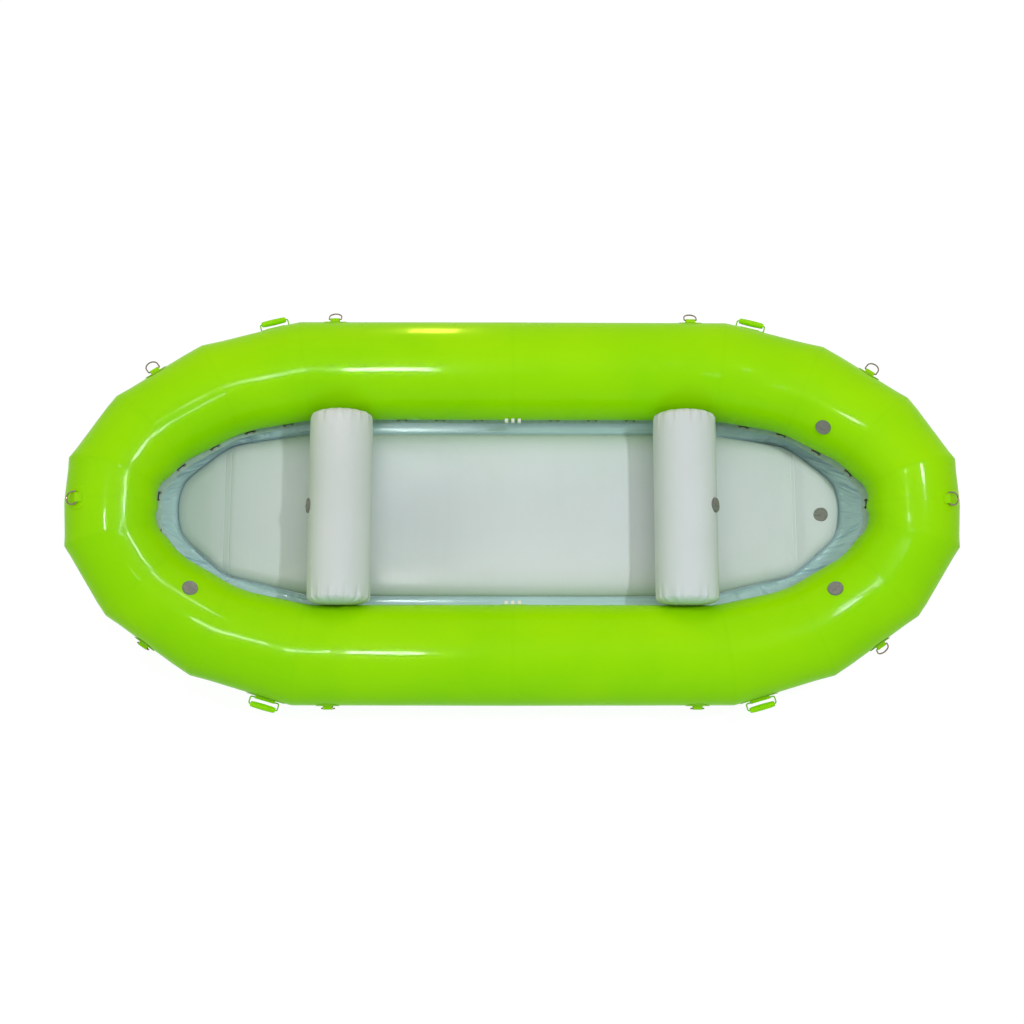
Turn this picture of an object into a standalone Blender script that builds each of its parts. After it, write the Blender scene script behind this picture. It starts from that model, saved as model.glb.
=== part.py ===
# Whitewater raft: an inflated ring of tube panels with a laced-in floor and two thwarts.
# Metres, +X to the bow, +Y to port, +Z up. The origin is on the ground under the middle of the hull.

import bpy
import bmesh
from math import cos, sin, tan, pi, radians
from mathutils import Matrix, Vector

# Hull ring. The slanted panels run from the straight side to the panel across each end.
LENGTH = 4.27
WIDTH = 1.90
TUBE_RADIUS = 0.2425
END_RADIUS = 0.215
TUBE_WALL = 0.0016
TUBE_SIDES = 24
PANEL_LENGTHS = (0.43, 0.40, 0.265)
PANEL_HEADINGS = (15.0, 34.0, 58.0)
PANEL_RISES = (0.055, 0.060, 0.065)
BAFFLE_THICKNESS = 0.002

# Clearance between pieces that touch
FIT = 0.0003

# Floor: an inflated slab whose ends kick up
FLOOR_THICKNESS = 0.10
FLOOR_WALL = 0.002
FLOOR_GROUND_GAP = 0.010
FLOOR_SIDE_GAP = 0.050
FLOOR_END_GAP = 0.055
FLOOR_STRAIGHT = 1.00
FLOOR_SHOULDER = 0.005
FLOOR_NOSE_POWER = 1.16
FLOOR_KICK_START = 1.43
FLOOR_KICK = 15.0
# Section of the edge, as shares of half the thickness: height, then the distance drawn in
FLOOR_EDGE = ((-1.0, 1.0), (-0.81, 0.40), (-0.31, 0.0), (0.31, 0.0), (0.81, 0.40), (1.0, 1.0))

# Lacing between the floor and the tubes
STRIP_THICKNESS = 0.002
STRIP_WIDTH = 0.037
STRIP_DROP = 0.004
FLAP_THICKNESS = 0.0015
FLAP_TUCK = 0.006
FLAP_GAP = 0.0011
CORD_RADIUS = 0.003
CORD_FROM_TUBE = 0.0195
CORD_LIFT = 0.0018

# Thwarts. Their ends run on past the tubes' inner sides and are cut to them. Each pair for the end
# is a share of the radius and the drop from the crown of the dome.
THWART_SPACING = 1.675
THWART_HEIGHT = 0.35
THWART_RADIUS = 0.1525
THWART_BEDDING = 0.027
THWART_END = ((0.0, 0.0), (0.33, 0.001), (0.66, 0.006), (0.85, 0.018), (1.0, 0.047))
THWART_WALL = 0.0015

# D-rings and their patches
PATCH_THICKNESS = 0.002
PATCH_RADIUS = 0.0575
PATCH_SIDES = 12
WEBBING = 0.003
TAB_WIDTH = 0.045
TAB_FOOT = 0.022
WIRE_RADIUS = 0.003
WIRE_PLAY = 0.0004
RING_HALF_WIDTH = 0.030
RING_LEG = 0.026
RING_HINGE = 0.013
SIDE_RING_X = 0.89
QUARTER_RING_RUN = 0.215

# Carry handles
HANDLE_RUN = 0.110
HANDLE_HALF_LENGTH = 0.070
HANDLE_STANDOFF = 0.036
HANDLE_CORNER = 0.006
HANDLE_HINGE = 0.0095
HANDLE_ROPE = 0.0035
HANDLE_DROOP = -15.0
GRIP_RADIUS = 0.0125
GRIP_LENGTH = 0.124
HANDLE_PATCH = (0.19, 0.062)
HANDLE_PATCH_CORNER = 0.02
TUNNEL_LENGTH = 0.096
TUNNEL_FOOT = 0.018

# Loop strips on the inner sides of the tubes
LOOP_PLATE = (0.125, 0.058, 0.0025)
LOOP_PITCH = 0.032
LOOP_SIZE = (0.016, 0.042, 0.014)
LOOP_SLOT = (0.009, 0.008)
LOOP_CORNER = 0.003

# Inflation valves. Heights are from the fabric that the valve sits on.
VALVE_SIDES = 16
VALVE_FLANGE = 0.037
VALVE_NECK = 0.026
VALVE_LIP = 0.004
VALVE_RECESS = 0.0235
VALVE_SEAT = -0.010
VALVE_SEAT_THICKNESS = 0.004
VALVE_BORE = 0.014
SKIRT_DEPTH = 0.012
SPIDER = (0.032, 0.007, 0.003)
STEM_RADIUS = 0.0028
STEM_PLAY = 0.0004
PLUNGER_RADIUS = 0.018
PLUNGER_THICKNESS = 0.003
BUTTON_RADIUS = 0.0055
BUTTON_THICKNESS = 0.002
BUTTON_TOP = -0.0015
CAP_RADIUS = 0.034
CAP_THICKNESS = 0.005
CAP_BEVEL = 0.0015
CAP_SPIGOT = (0.0227, 0.0190, 0.005)
CAP_GRIP = (0.046, 0.010, 0.004)
VALVE_RUN = 0.187
VALVE_CLOCKS = {"bow_port": 135.0, "bow_starboard": 120.0, "stern": 120.0}
FLOOR_VALVE_X = 1.54
THWART_VALVE_TILTS = {"bow": 30.0, "stern": 15.0}

UP = Vector((0, 0, 1))
STEP = 2 * pi / TUBE_SIDES
MID_SIDE, END_CENTRE = 0, 5
HALF_LOOP = 10

LIME = (0.26, 0.74, 0.0)
GREY = (0.55, 0.63, 0.63)
FLAP_GREY = (0.33, 0.43, 0.45)
DARK = (0.03, 0.03, 0.03)
WHITE = (0.75, 0.75, 0.72)
VALVE_GREY = (0.20, 0.20, 0.17)
STEEL = (0.60, 0.60, 0.58)

for old in list(bpy.data.objects):
    bpy.data.objects.remove(old)
parts = bpy.data.collections.new("whitewater_raft")
cutters = bpy.data.collections.new("cutters")
bpy.context.scene.collection.children.link(parts)
bpy.context.scene.collection.children.link(cutters)


def add_part(name, mesh, colour, roughness, metallic=0.0, frame=None):
    paint = bpy.data.materials.new(name)
    paint.use_nodes = True
    shader = paint.node_tree.nodes["Principled BSDF"]
    shader.inputs["Base Color"].default_value = (*colour, 1.0)
    shader.inputs["Roughness"].default_value = roughness
    shader.inputs["Metallic"].default_value = metallic
    made = bpy.data.objects.new(name, mesh)
    made.data.materials.append(paint)
    parts.objects.link(made)
    if frame is not None:
        made.matrix_world = frame
    return made


def add_cutter(name, mesh, frame=None):
    made = bpy.data.objects.new(name, mesh)
    made.hide_render = True
    made.display_type = "WIRE"
    cutters.objects.link(made)
    if frame is not None:
        made.matrix_world = frame
    return made


def combine(target, tool, operation="DIFFERENCE"):
    step = target.modifiers.new(tool.name, "BOOLEAN")
    step.object = tool
    step.operation = operation
    step.solver = "EXACT"


def thicken(target, thickness, offset):
    step = target.modifiers.new("thickness", "SOLIDIFY")
    step.thickness = thickness
    step.offset = offset
    step.use_even_offset = True


def finished(bm, name, smooth=False):
    bmesh.ops.recalc_face_normals(bm, faces=bm.faces)
    made = bpy.data.meshes.new(name)
    bm.to_mesh(made)
    bm.free()
    if smooth:
        made.shade_smooth()
        made.set_sharp_from_angle(angle=radians(40))
    return made


# Shapes

def loft(rows, name, loop=False, tube=True, capped=False):
    # Skins from row to row. Every band is split along the same diagonal, so that an offset copy
    # keeps its distance everywhere.
    bm = bmesh.new()
    rings = [[bm.verts.new(p) for p in row] for row in rows]
    bands = list(zip(rings, rings[1:]))
    if loop:
        bands.append((rings[-1], rings[0]))
    for near, far in bands:
        for k in range(len(near) if tube else len(near) - 1):
            n = (k + 1) % len(near)
            bm.faces.new((near[k], near[n], far[n]))
            bm.faces.new((near[k], far[n], far[k]))
    if capped:
        bm.faces.new(rings[0])
        bm.faces.new(rings[-1])
    return finished(bm, name, smooth=True)


def prism(outline, low, high, name, smooth=False):
    # Stands an XY outline up along Z.
    bm = bmesh.new()
    base = bm.faces.new([bm.verts.new((x, y, low)) for x, y in outline])
    raised = bmesh.ops.extrude_face_region(bm, geom=[base])["geom"]
    top = [v for v in raised if isinstance(v, bmesh.types.BMVert)]
    bmesh.ops.translate(bm, verts=top, vec=(0, 0, high - low))
    return finished(bm, name, smooth)


def bar(outline, half_length, name):
    # Lays a YZ outline along X.
    made = prism(outline, -half_length, half_length, name)
    made.transform(Matrix(((0, 0, 1, 0), (1, 0, 0, 0), (0, 1, 0, 0), (0, 0, 0, 1))))
    return made


def circle(radius, sides, turn=0.0):
    angles = [2 * pi * (k + turn) / sides for k in range(sides)]
    return [(radius * cos(a), radius * sin(a)) for a in angles]


def rounded_rectangle(length, width, corner):
    outline = []
    for sx, sy, start in ((1, 1, 0), (-1, 1, 90), (-1, -1, 180), (1, -1, 270)):
        for turn in (0, 45, 90):
            angle = radians(start + turn)
            outline.append((sx * (length / 2 - corner) + corner * cos(angle),
                            sy * (width / 2 - corner) + corner * sin(angle)))
    return outline


def block(size, name, centre=(0, 0, 0)):
    bm = bmesh.new()
    place = Matrix.Translation(centre) @ Matrix.Diagonal((*size, 1.0))
    bmesh.ops.create_cube(bm, size=1.0, matrix=place)
    return finished(bm, name)


def turned(profile, sides, name, closed=False, turn=0.0):
    # Spins (radius, height) points about Z.
    bm = bmesh.new()
    points = [bm.verts.new((r, 0, z)) for r, z in profile]
    edges = [bm.edges.new(pair) for pair in zip(points, points[1:])]
    if closed:
        edges.append(bm.edges.new((points[-1], points[0])))
    bmesh.ops.spin(bm, geom=points + edges, cent=(0, 0, 0), axis=(0, 0, 1), angle=2 * pi,
                   steps=sides, use_merge=True)
    bmesh.ops.remove_doubles(bm, verts=bm.verts, dist=0.00001)
    bmesh.ops.rotate(bm, verts=bm.verts, matrix=Matrix.Rotation(2 * pi * turn / sides, 3, "Z"))
    return finished(bm, name, smooth=True)


def wire(points, radius, name):
    # A round bar along a closed path, made a mesh so that other shapes can be joined to it.
    curve = bpy.data.curves.new(name, "CURVE")
    curve.dimensions = "3D"
    curve.bevel_depth = radius
    curve.bevel_resolution = 1
    spline = curve.splines.new("POLY")
    spline.points.add(len(points) - 1)
    for target, point in zip(spline.points, points):
        target.co = (*point, 1.0)
    spline.use_cyclic_u = True
    holder = bpy.data.objects.new(name, curve)
    cutters.objects.link(holder)
    seen = holder.evaluated_get(bpy.context.evaluated_depsgraph_get())
    swept = bpy.data.meshes.new_from_object(seen)
    bpy.data.objects.remove(holder)
    bm = bmesh.new()
    bm.from_mesh(swept)
    bmesh.ops.remove_doubles(bm, verts=bm.verts, dist=0.00001)
    return finished(bm, name, smooth=True)


# Hull ring. One quarter is drawn, from the middle of the port side to the middle of the bow. The
# stations are numbered from there on round the starboard side and the stern.

def quarter_path():
    run = sum(n * cos(radians(h)) for n, h in zip(PANEL_LENGTHS, PANEL_HEADINGS))
    corner = Vector((LENGTH / 2 - END_RADIUS - run, WIDTH / 2 - TUBE_RADIUS, TUBE_RADIUS))
    centres = [Vector((0, corner.y, corner.z)), corner]
    radii = [TUBE_RADIUS, TUBE_RADIUS]
    travelled = 0.0
    for length, heading, rise in zip(PANEL_LENGTHS, PANEL_HEADINGS, PANEL_RISES):
        turn = radians(heading)
        centres.append(centres[-1] + Vector((length * cos(turn), -length * sin(turn), rise)))
        travelled += length / sum(PANEL_LENGTHS)
        radii.append(TUBE_RADIUS + (END_RADIUS - TUBE_RADIUS) * travelled)
    centres.append(Vector((centres[-1].x, 0, centres[-1].z)))
    radii.append(END_RADIUS)
    return centres, radii


def mitred_ring(centre, before, after, apothem):
    # Carries the tube's corners along the panel before onto the plane that halves the bend.
    outboard = UP.cross(before).normalized()
    above = before.cross(outboard)
    plane = (before + after).normalized()
    reach = apothem / cos(STEP / 2)
    ring = []
    for k in range(TUBE_SIDES):
        angle = (k + 0.5) * STEP
        corner = centre + (outboard * cos(angle) + above * sin(angle)) * reach
        ring.append(corner + before * ((centre - corner).dot(plane) / before.dot(plane)))
    return ring


def quarter_rings(offset=0.0):
    centres, radii = quarter_path()
    runs = [(b - a).normalized() for a, b in zip(centres, centres[1:])]
    runs = [runs[0], *runs, runs[-1]]
    rings = []
    for i, (centre, radius) in enumerate(zip(centres, radii)):
        rings.append(mitred_ring(centre, runs[i], runs[i + 1], radius + offset))
    return rings


def all_round(quarter, flip):
    # Repeats one quarter's items for the other three.
    return ([flip(item, 1, 1) for item in quarter]
            + [flip(item, 1, -1) for item in reversed(quarter[:-1])]
            + [flip(item, -1, -1) for item in quarter[1:]]
            + [flip(item, -1, 1) for item in reversed(quarter[1:-1])])


def flip_point(point, sx, sy):
    return Vector((point[0] * sx, point[1] * sy, point[2]))


def flip_ring(ring, sx, sy):
    return [flip_point(p, sx, sy) for p in ring]


def hull_rings(offset=0.0):
    return all_round(quarter_rings(offset), flip_ring)


def hull_skin(name, offset):
    return add_cutter(name, loft(hull_rings(offset), name, loop=True))


def facet_frame(quarter, panel, share, clock):
    # A frame on the outside of a panel: X along the tube, Z outwards. The share is of the way from
    # the side to the end. The clock angle counts from straight outboard up over the top.
    end, side = quarter.split("_")
    onward = (end == "bow") == (side == "port")
    station = {"bow_port": panel, "bow_starboard": HALF_LOOP - 1 - panel,
               "stern_starboard": HALF_LOOP + panel, "stern_port": 2 * HALF_LOOP - 1 - panel}[quarter]
    rings = hull_rings()
    near = rings[station]
    far = rings[(station + 1) % len(rings)]
    j = round(radians(clock) / STEP)
    start = (near[j - 1] + near[j]) / 2
    finish = (far[j - 1] + far[j]) / 2
    along = (finish - start).normalized()
    out = (near[j] - near[j - 1] + far[j] - far[j - 1]).cross(along).normalized()
    frame = Matrix((along, out.cross(along), out)).transposed().to_4x4()
    frame.translation = start.lerp(finish, share if onward else 1 - share)
    return frame


def tube(name, first, last):
    rings = hull_rings()
    chosen = [[p.copy() for p in rings[i % len(rings)]] for i in range(first, last + 1)]
    for ring, inner in ((chosen[0], chosen[1]), (chosen[-1], chosen[-2])):
        trim = (inner[0] - ring[0]).normalized() * FIT / 2
        for p in ring:
            p += trim
    made = add_part(name, loft(chosen, name), LIME, 0.25)
    thicken(made, TUBE_WALL, -1)
    return made


def baffle(name, station):
    ring = hull_rings(-TUBE_WALL - FIT)[station]
    across = (ring[6] - ring[0]).cross(ring[12] - ring[0]).normalized() * BAFFLE_THICKNESS / 2
    sides = [[p + across for p in ring], [p - across for p in ring]]
    add_part(name, loft(sides, name, capped=True), GREY, 0.6)


tubes = {"bow_port": tube("tube_bow_port", MID_SIDE, END_CENTRE),
         "bow_starboard": tube("tube_bow_starboard", END_CENTRE, HALF_LOOP),
         "stern": tube("tube_stern", HALF_LOOP, 2 * HALF_LOOP)}
baffle("baffle_bow", END_CENTRE)
baffle("baffle_port", MID_SIDE)
baffle("baffle_starboard", HALF_LOOP)
skin_near = hull_skin("skin_near", FIT)
skin_patch = hull_skin("skin_patch", FIT + PATCH_THICKNESS)


# Floor

FLOOR_MID = FLOOR_GROUND_GAP + FLOOR_THICKNESS / 2
FLOOR_HALF_LENGTH = LENGTH / 2 - 2 * END_RADIUS - FLOOR_END_GAP
FLOOR_HALF_WIDTH = WIDTH / 2 - 2 * TUBE_RADIUS - FLOOR_SIDE_GAP
# Where the lacing has points along each panel from the side's corner to the end
PANEL_SHARES = ((1 / 3, 2 / 3, 1), (1 / 3, 2 / 3, 1), (1 / 2, 1), (1 / 3, 2 / 3, 1))


def kick(x):
    return max(0.0, abs(x) - FLOOR_KICK_START) * tan(radians(FLOOR_KICK))


def floor_quarter(inset, z):
    count = sum(len(shares) for shares in PANEL_SHARES)
    nose = FLOOR_HALF_LENGTH - FLOOR_STRAIGHT - inset
    side = FLOOR_HALF_WIDTH - FLOOR_SHOULDER - inset
    points = [(0.0, FLOOR_HALF_WIDTH - inset, z)]
    for k in range(count + 1):
        turn = pi / 2 * k / count
        points.append((FLOOR_STRAIGHT + nose * sin(turn),
                       side * max(cos(turn), 0.0) ** FLOOR_NOSE_POWER, z))
    return points


def floor_mesh(name, inset):
    half = FLOOR_THICKNESS / 2 - inset
    rows = []
    for height, drawn_in in FLOOR_EDGE:
        rows.append(all_round(floor_quarter(inset + half * drawn_in, FLOOR_MID + half * height), flip_point))
    made = loft(rows, name, capped=True)
    bm = bmesh.new()
    bm.from_mesh(made)
    for x in (-FLOOR_KICK_START, FLOOR_KICK_START):
        bmesh.ops.bisect_plane(bm, geom=bm.verts[:] + bm.edges[:] + bm.faces[:], dist=0.00001,
                               plane_co=(x, 0, 0), plane_no=(1, 0, 0))
    for v in bm.verts:
        v.co.z += kick(v.co.x)
    return finished(bm, name, smooth=True)


floor = add_part("floor", floor_mesh("floor", 0.0), GREY, 0.5)
combine(floor, add_cutter("floor_void", floor_mesh("floor_void", FLOOR_WALL)))
skin_floor = add_cutter("skin_floor", floor_mesh("skin_floor", -FIT))


# Lace strip on the tubes, flap round the floor and the cord that draws them together

def strip_stations():
    # The strip's foot and fold on the tube, and the step from the fold straight inboard.
    offset = FIT + STRIP_THICKNESS / 2
    stations = []
    for ring, radius in zip(quarter_rings(offset), quarter_path()[1]):
        inboard = (ring[11] + ring[12] - ring[-1] - ring[0]) / (4 * (radius + offset))
        stations.append((ring[15], ring[14], inboard))
    return stations


def flap_stations(stations):
    samples = [(0, 0), (0, 1)]
    samples += [(panel, f) for panel, shares in enumerate(PANEL_SHARES, 1) for f in shares]
    return [[a.lerp(b, f) for a, b in zip(stations[panel], stations[panel + 1])]
            for panel, f in samples]


def off_fold(row, distance, height):
    # A point above or below the strip at a distance in from its fold.
    foot, fold, inboard = row
    return fold + inboard * distance + UP * (height - STRIP_DROP * distance / STRIP_WIDTH)


stations = strip_stations()
columns = ([off_fold(row, STRIP_WIDTH, 0.0) for row in stations],
           [row[1] for row in stations], [row[0] for row in stations])
strip = loft(list(zip(*[all_round(c, flip_point) for c in columns])), "lace_strip", loop=True, tube=False)
lace_strip = add_part("lace_strip", strip, DARK, 0.6)
thicken(lace_strip, STRIP_THICKNESS, 0)

tuck_drop = STRIP_THICKNESS / 2 + FIT + FLAP_THICKNESS
flap_inner = [Vector((x, y, z + kick(x))) for x, y, z in floor_quarter(-FLAP_GAP, FLOOR_MID)]
flap_outer = [off_fold(row, FLAP_TUCK, -tuck_drop) for row in flap_stations(stations)]
flap = loft(list(zip(all_round(flap_inner, flip_point), all_round(flap_outer, flip_point))),
            "floor_flap", loop=True, tube=False)
floor_flap = add_part("floor_flap", flap, FLAP_GREY, 0.5)
thicken(floor_flap, FLAP_THICKNESS, 0)

cord_height = STRIP_THICKNESS / 2 + CORD_LIFT + CORD_RADIUS
cord_path = [off_fold(row, CORD_FROM_TUBE, cord_height) for row in stations]
add_part("lacing_cord", wire(all_round(cord_path, flip_point), CORD_RADIUS, "lacing_cord"), DARK, 0.7)


# Thwarts

def thwart_mesh(name, x, inset):
    radius = (THWART_RADIUS - inset) / cos(STEP / 2)
    reach = WIDTH / 2 - 2 * TUBE_RADIUS + THWART_BEDDING - inset
    end = [(share * radius, reach - drop) for share, drop in THWART_END]
    made = turned(end + [(r, -z) for r, z in reversed(end)], TUBE_SIDES, name, turn=0.5)
    made.transform(Matrix.Translation((x, 0, THWART_HEIGHT)) @ Matrix.Rotation(pi / 2, 4, "X"))
    return made


skin_wall = hull_skin("skin_wall", FIT + THWART_WALL)
thwarts = {}
for end, sign in (("bow", 1), ("stern", -1)):
    x = sign * THWART_SPACING / 2
    thwarts[end] = add_part("thwart_" + end, thwart_mesh("thwart_" + end, x, 0.0), GREY, 0.5)
    void = add_cutter("void_" + end, thwart_mesh("void_" + end, x, THWART_WALL))
    combine(void, skin_wall)
    combine(thwarts[end], skin_near)
    combine(thwarts[end], void)


# D-rings, each on a webbing tab on a round patch

def patch(name, outline, tab, bore, frame):
    # The outline follows the tube, and the tab's bore takes the wire.
    made = add_part(name, prism(outline, -0.03, 0.02, name), LIME, 0.35, frame=frame)
    combine(made, skin_patch, "INTERSECT")
    combine(made, add_cutter(name + "_tab", tab, frame), "UNION")
    combine(made, skin_near)
    combine(made, add_cutter(name + "_bore", bore, frame))


def tab_outline(hinge, radius, foot):
    top = [(radius * cos(radians(a)), hinge + radius * sin(radians(a))) for a in (0, 45, 90, 135, 180)]
    step = PATCH_THICKNESS + WEBBING * 0.7
    return [(foot, -0.01), (foot, step), *top, (-foot, step), (-foot, -0.01)]


def bore_outline(hinge, radius):
    return [(y, hinge + z) for y, z in circle(radius / cos(pi / 8), 8, 0.5)]


def dring(place, frame, rest):
    hole = WIRE_RADIUS + WIRE_PLAY
    tab = bar(tab_outline(RING_HINGE, hole + WEBBING, TAB_FOOT), TAB_WIDTH / 2, "tab")
    bore = bar(bore_outline(RING_HINGE, hole), TAB_WIDTH, "bore")
    patch("dring_patch_" + place, circle(PATCH_RADIUS, PATCH_SIDES, 0.5), tab, bore, frame)
    arc = [pi * k / 8 for k in range(9)]
    path = [(-RING_HALF_WIDTH, 0, 0), (RING_HALF_WIDTH, 0, 0)]
    path += [(RING_HALF_WIDTH * cos(a), 0, RING_LEG + RING_HALF_WIDTH * sin(a)) for a in arc]
    hinge = frame @ Matrix.Translation((0, 0, RING_HINGE)) @ Matrix.Rotation(radians(rest), 4, "X")
    name = "dring_" + place
    add_part(name, wire(path, WIRE_RADIUS, name), STEEL, 0.3, 1.0, frame=hinge)


side_share = SIDE_RING_X / (quarter_path()[0][1].x + TUBE_RADIUS * tan(radians(PANEL_HEADINGS[0] / 2)))
quarter_share = QUARTER_RING_RUN / PANEL_LENGTHS[1]
for place, quarter, panel, share, clock, rest in (
        ("bow", "bow_port", 4, 1.0, 60, -90),
        ("stern", "stern_starboard", 4, 1.0, 60, -90),
        ("side_bow_port", "bow_port", 0, side_share, 15, -60),
        ("side_stern_port", "stern_port", 0, side_share, 15, -60),
        ("side_bow_starboard", "bow_starboard", 0, side_share, 0, -90),
        ("side_stern_starboard", "stern_starboard", 0, side_share, 0, -90),
        ("quarter_bow_port", "bow_port", 2, quarter_share, 15, -40),
        ("quarter_stern_port", "stern_port", 2, quarter_share, 15, -40),
        ("quarter_bow_starboard", "bow_starboard", 2, quarter_share, 0, -55),
        ("quarter_stern_starboard", "stern_starboard", 2, quarter_share, 0, -90)):
    dring(place, facet_frame(quarter, panel, share, clock), rest)


# Carry handles: a rope loop through a webbing tunnel, with a grip on its outer run

def handle(quarter):
    frame = facet_frame(quarter, 1, HANDLE_RUN / PANEL_LENGTHS[0], 0)
    hole = HANDLE_ROPE + WIRE_PLAY
    tunnel = bar(tab_outline(HANDLE_HINGE, hole + WEBBING, TUNNEL_FOOT), TUNNEL_LENGTH / 2, "tunnel")
    bore = bar(bore_outline(HANDLE_HINGE, hole), TUNNEL_LENGTH, "bore")
    outline = rounded_rectangle(*HANDLE_PATCH, HANDLE_PATCH_CORNER)
    patch("handle_patch_" + quarter, outline, tunnel, bore, frame)
    x, z, c = HANDLE_HALF_LENGTH, HANDLE_STANDOFF, HANDLE_CORNER
    path = [(c - x, 0, 0), (x - c, 0, 0), (x, 0, c), (x, 0, z - c),
            (x - c, 0, z), (c - x, 0, z), (-x, 0, z - c), (-x, 0, c)]
    hinge = frame @ Matrix.Translation((0, 0, HANDLE_HINGE))
    hinge = hinge @ Matrix.Rotation(radians(HANDLE_DROOP), 4, "X")
    name = "handle_" + quarter
    made = add_part(name, wire(path, HANDLE_ROPE, name), LIME, 0.5, frame=hinge)
    half = GRIP_LENGTH / 2
    edge = 0.003
    profile = [(0, half), (GRIP_RADIUS - edge, half), (GRIP_RADIUS, half - edge),
               (GRIP_RADIUS, edge - half), (GRIP_RADIUS - edge, -half), (0, -half)]
    grip = turned(profile, 12, "grip")
    grip.transform(Matrix.Translation((0, 0, z)) @ Matrix.Rotation(pi / 2, 4, "Y"))
    combine(made, add_cutter(name + "_grip", grip, hinge), "UNION")


for quarter in ("bow_port", "bow_starboard", "stern_port", "stern_starboard"):
    handle(quarter)


# Loop strips: a plate with three upright webbing loops

def loop_strip(side, quarter):
    frame = facet_frame(quarter, 0, 0.0, 180)
    length, height, thickness = LOOP_PLATE
    name = "loop_strip_" + side
    plate = block(LOOP_PLATE, name, (0, 0, FIT + thickness / 2))
    made = add_part(name, plate, WHITE, 0.7, frame=frame)
    w, h, c = LOOP_SIZE[0] / 2, LOOP_SIZE[2], LOOP_CORNER
    upright = Matrix(((1, 0, 0, 0), (0, 0, 1, 0), (0, 1, 0, 0), (0, 0, 0, 1)))
    for k in (-1, 0, 1):
        x = k * LOOP_PITCH
        foot = FIT + thickness / 2
        outline = [(x - w, foot), (x - w, h - c), (x - w + c, h),
                   (x + w - c, h), (x + w, h - c), (x + w, foot)]
        arch = prism(outline, -LOOP_SIZE[1] / 2, LOOP_SIZE[1] / 2, "arch")
        arch.transform(upright)
        combine(made, add_cutter("%s_arch_%d" % (name, k + 2), arch, frame), "UNION")
        slot_low = FIT + thickness
        centre = (x, 0, slot_low + LOOP_SLOT[1] / 2)
        slot = block((LOOP_SLOT[0], height, LOOP_SLOT[1]), "slot", centre)
        combine(made, add_cutter("%s_slot_%d" % (name, k + 2), slot, frame))


loop_strip("port", "bow_port")
loop_strip("starboard", "stern_starboard")


# Inflation valves: a body welded into the fabric, a sprung plunger and a quarter-turn cap

def valve(place, frame, host, skin):
    hole = prism(circle(VALVE_NECK + FIT, VALVE_SIDES), -0.03, 0.03, "hole")
    combine(host, add_cutter("valve_hole_" + place, hole, frame))

    bottom = VALVE_SEAT - VALVE_SEAT_THICKNESS
    bevel = 0.001
    body = turned([(VALVE_RECESS, VALVE_LIP), (VALVE_NECK, VALVE_LIP), (VALVE_NECK, bottom),
                   (VALVE_BORE, bottom), (VALVE_BORE, VALVE_SEAT), (VALVE_RECESS, VALVE_SEAT)],
                  VALVE_SIDES, "body", closed=True)
    name = "valve_body_" + place
    made = add_part(name, body, VALVE_GREY, 0.5, frame=frame)
    inner = VALVE_NECK - 0.001
    flange = turned([(inner, VALVE_LIP - 0.0002), (VALVE_FLANGE - bevel, VALVE_LIP - 0.0002),
                     (VALVE_FLANGE, VALVE_LIP - bevel), (VALVE_FLANGE, -SKIRT_DEPTH),
                     (inner, -SKIRT_DEPTH)], VALVE_SIDES, "flange", closed=True)
    flange = add_cutter(name + "_flange", flange, frame)
    combine(flange, skin)
    combine(made, flange, "UNION")
    spider = block(SPIDER, "spider", (0, 0, VALVE_SEAT - VALVE_SEAT_THICKNESS / 2))
    combine(made, add_cutter(name + "_spider", spider, frame), "UNION")
    guide = prism(circle((STEM_RADIUS + STEM_PLAY) / cos(pi / 8), 8), bottom - 0.01, 0.0, "guide")
    combine(made, add_cutter(name + "_guide", guide, frame))

    top = bottom - FIT
    stem_top = BUTTON_TOP - BUTTON_THICKNESS
    plunger = turned([(0, BUTTON_TOP), (BUTTON_RADIUS, BUTTON_TOP), (BUTTON_RADIUS, stem_top),
                      (STEM_RADIUS, stem_top), (STEM_RADIUS, top), (PLUNGER_RADIUS, top),
                      (PLUNGER_RADIUS, top - PLUNGER_THICKNESS), (0, top - PLUNGER_THICKNESS)],
                     VALVE_SIDES, "plunger")
    add_part("valve_plunger_" + place, plunger, VALVE_GREY, 0.5, frame=frame)

    low = VALVE_LIP + FIT
    high = low + CAP_THICKNESS
    outer, inner, depth = CAP_SPIGOT
    cap = turned([(0, high), (CAP_RADIUS - CAP_BEVEL, high), (CAP_RADIUS, high - CAP_BEVEL),
                  (CAP_RADIUS, low), (outer, low), (outer, low - depth), (inner, low - depth),
                  (inner, low), (0, low)], VALVE_SIDES, "cap")
    name = "valve_cap_" + place
    made = add_part(name, cap, VALVE_GREY, 0.4, frame=frame)
    grip = block(CAP_GRIP, "cap_grip", (0, 0, high + CAP_GRIP[2] / 2 - 0.001))
    combine(made, add_cutter(name + "_grip", grip, frame), "UNION")


valve_share = VALVE_RUN / PANEL_LENGTHS[1]
for place, quarter in (("bow_port", "bow_port"), ("bow_starboard", "bow_starboard"),
                       ("stern", "stern_starboard")):
    valve(place, facet_frame(quarter, 2, valve_share, VALVE_CLOCKS[place]), tubes[place], skin_near)

lift = kick(FLOOR_VALVE_X)
floor_frame = Matrix.Translation((FLOOR_VALVE_X, 0, FLOOR_GROUND_GAP + FLOOR_THICKNESS + lift))
valve("floor", floor_frame @ Matrix.Rotation(-radians(FLOOR_KICK), 4, "Y"), floor, skin_floor)

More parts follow.
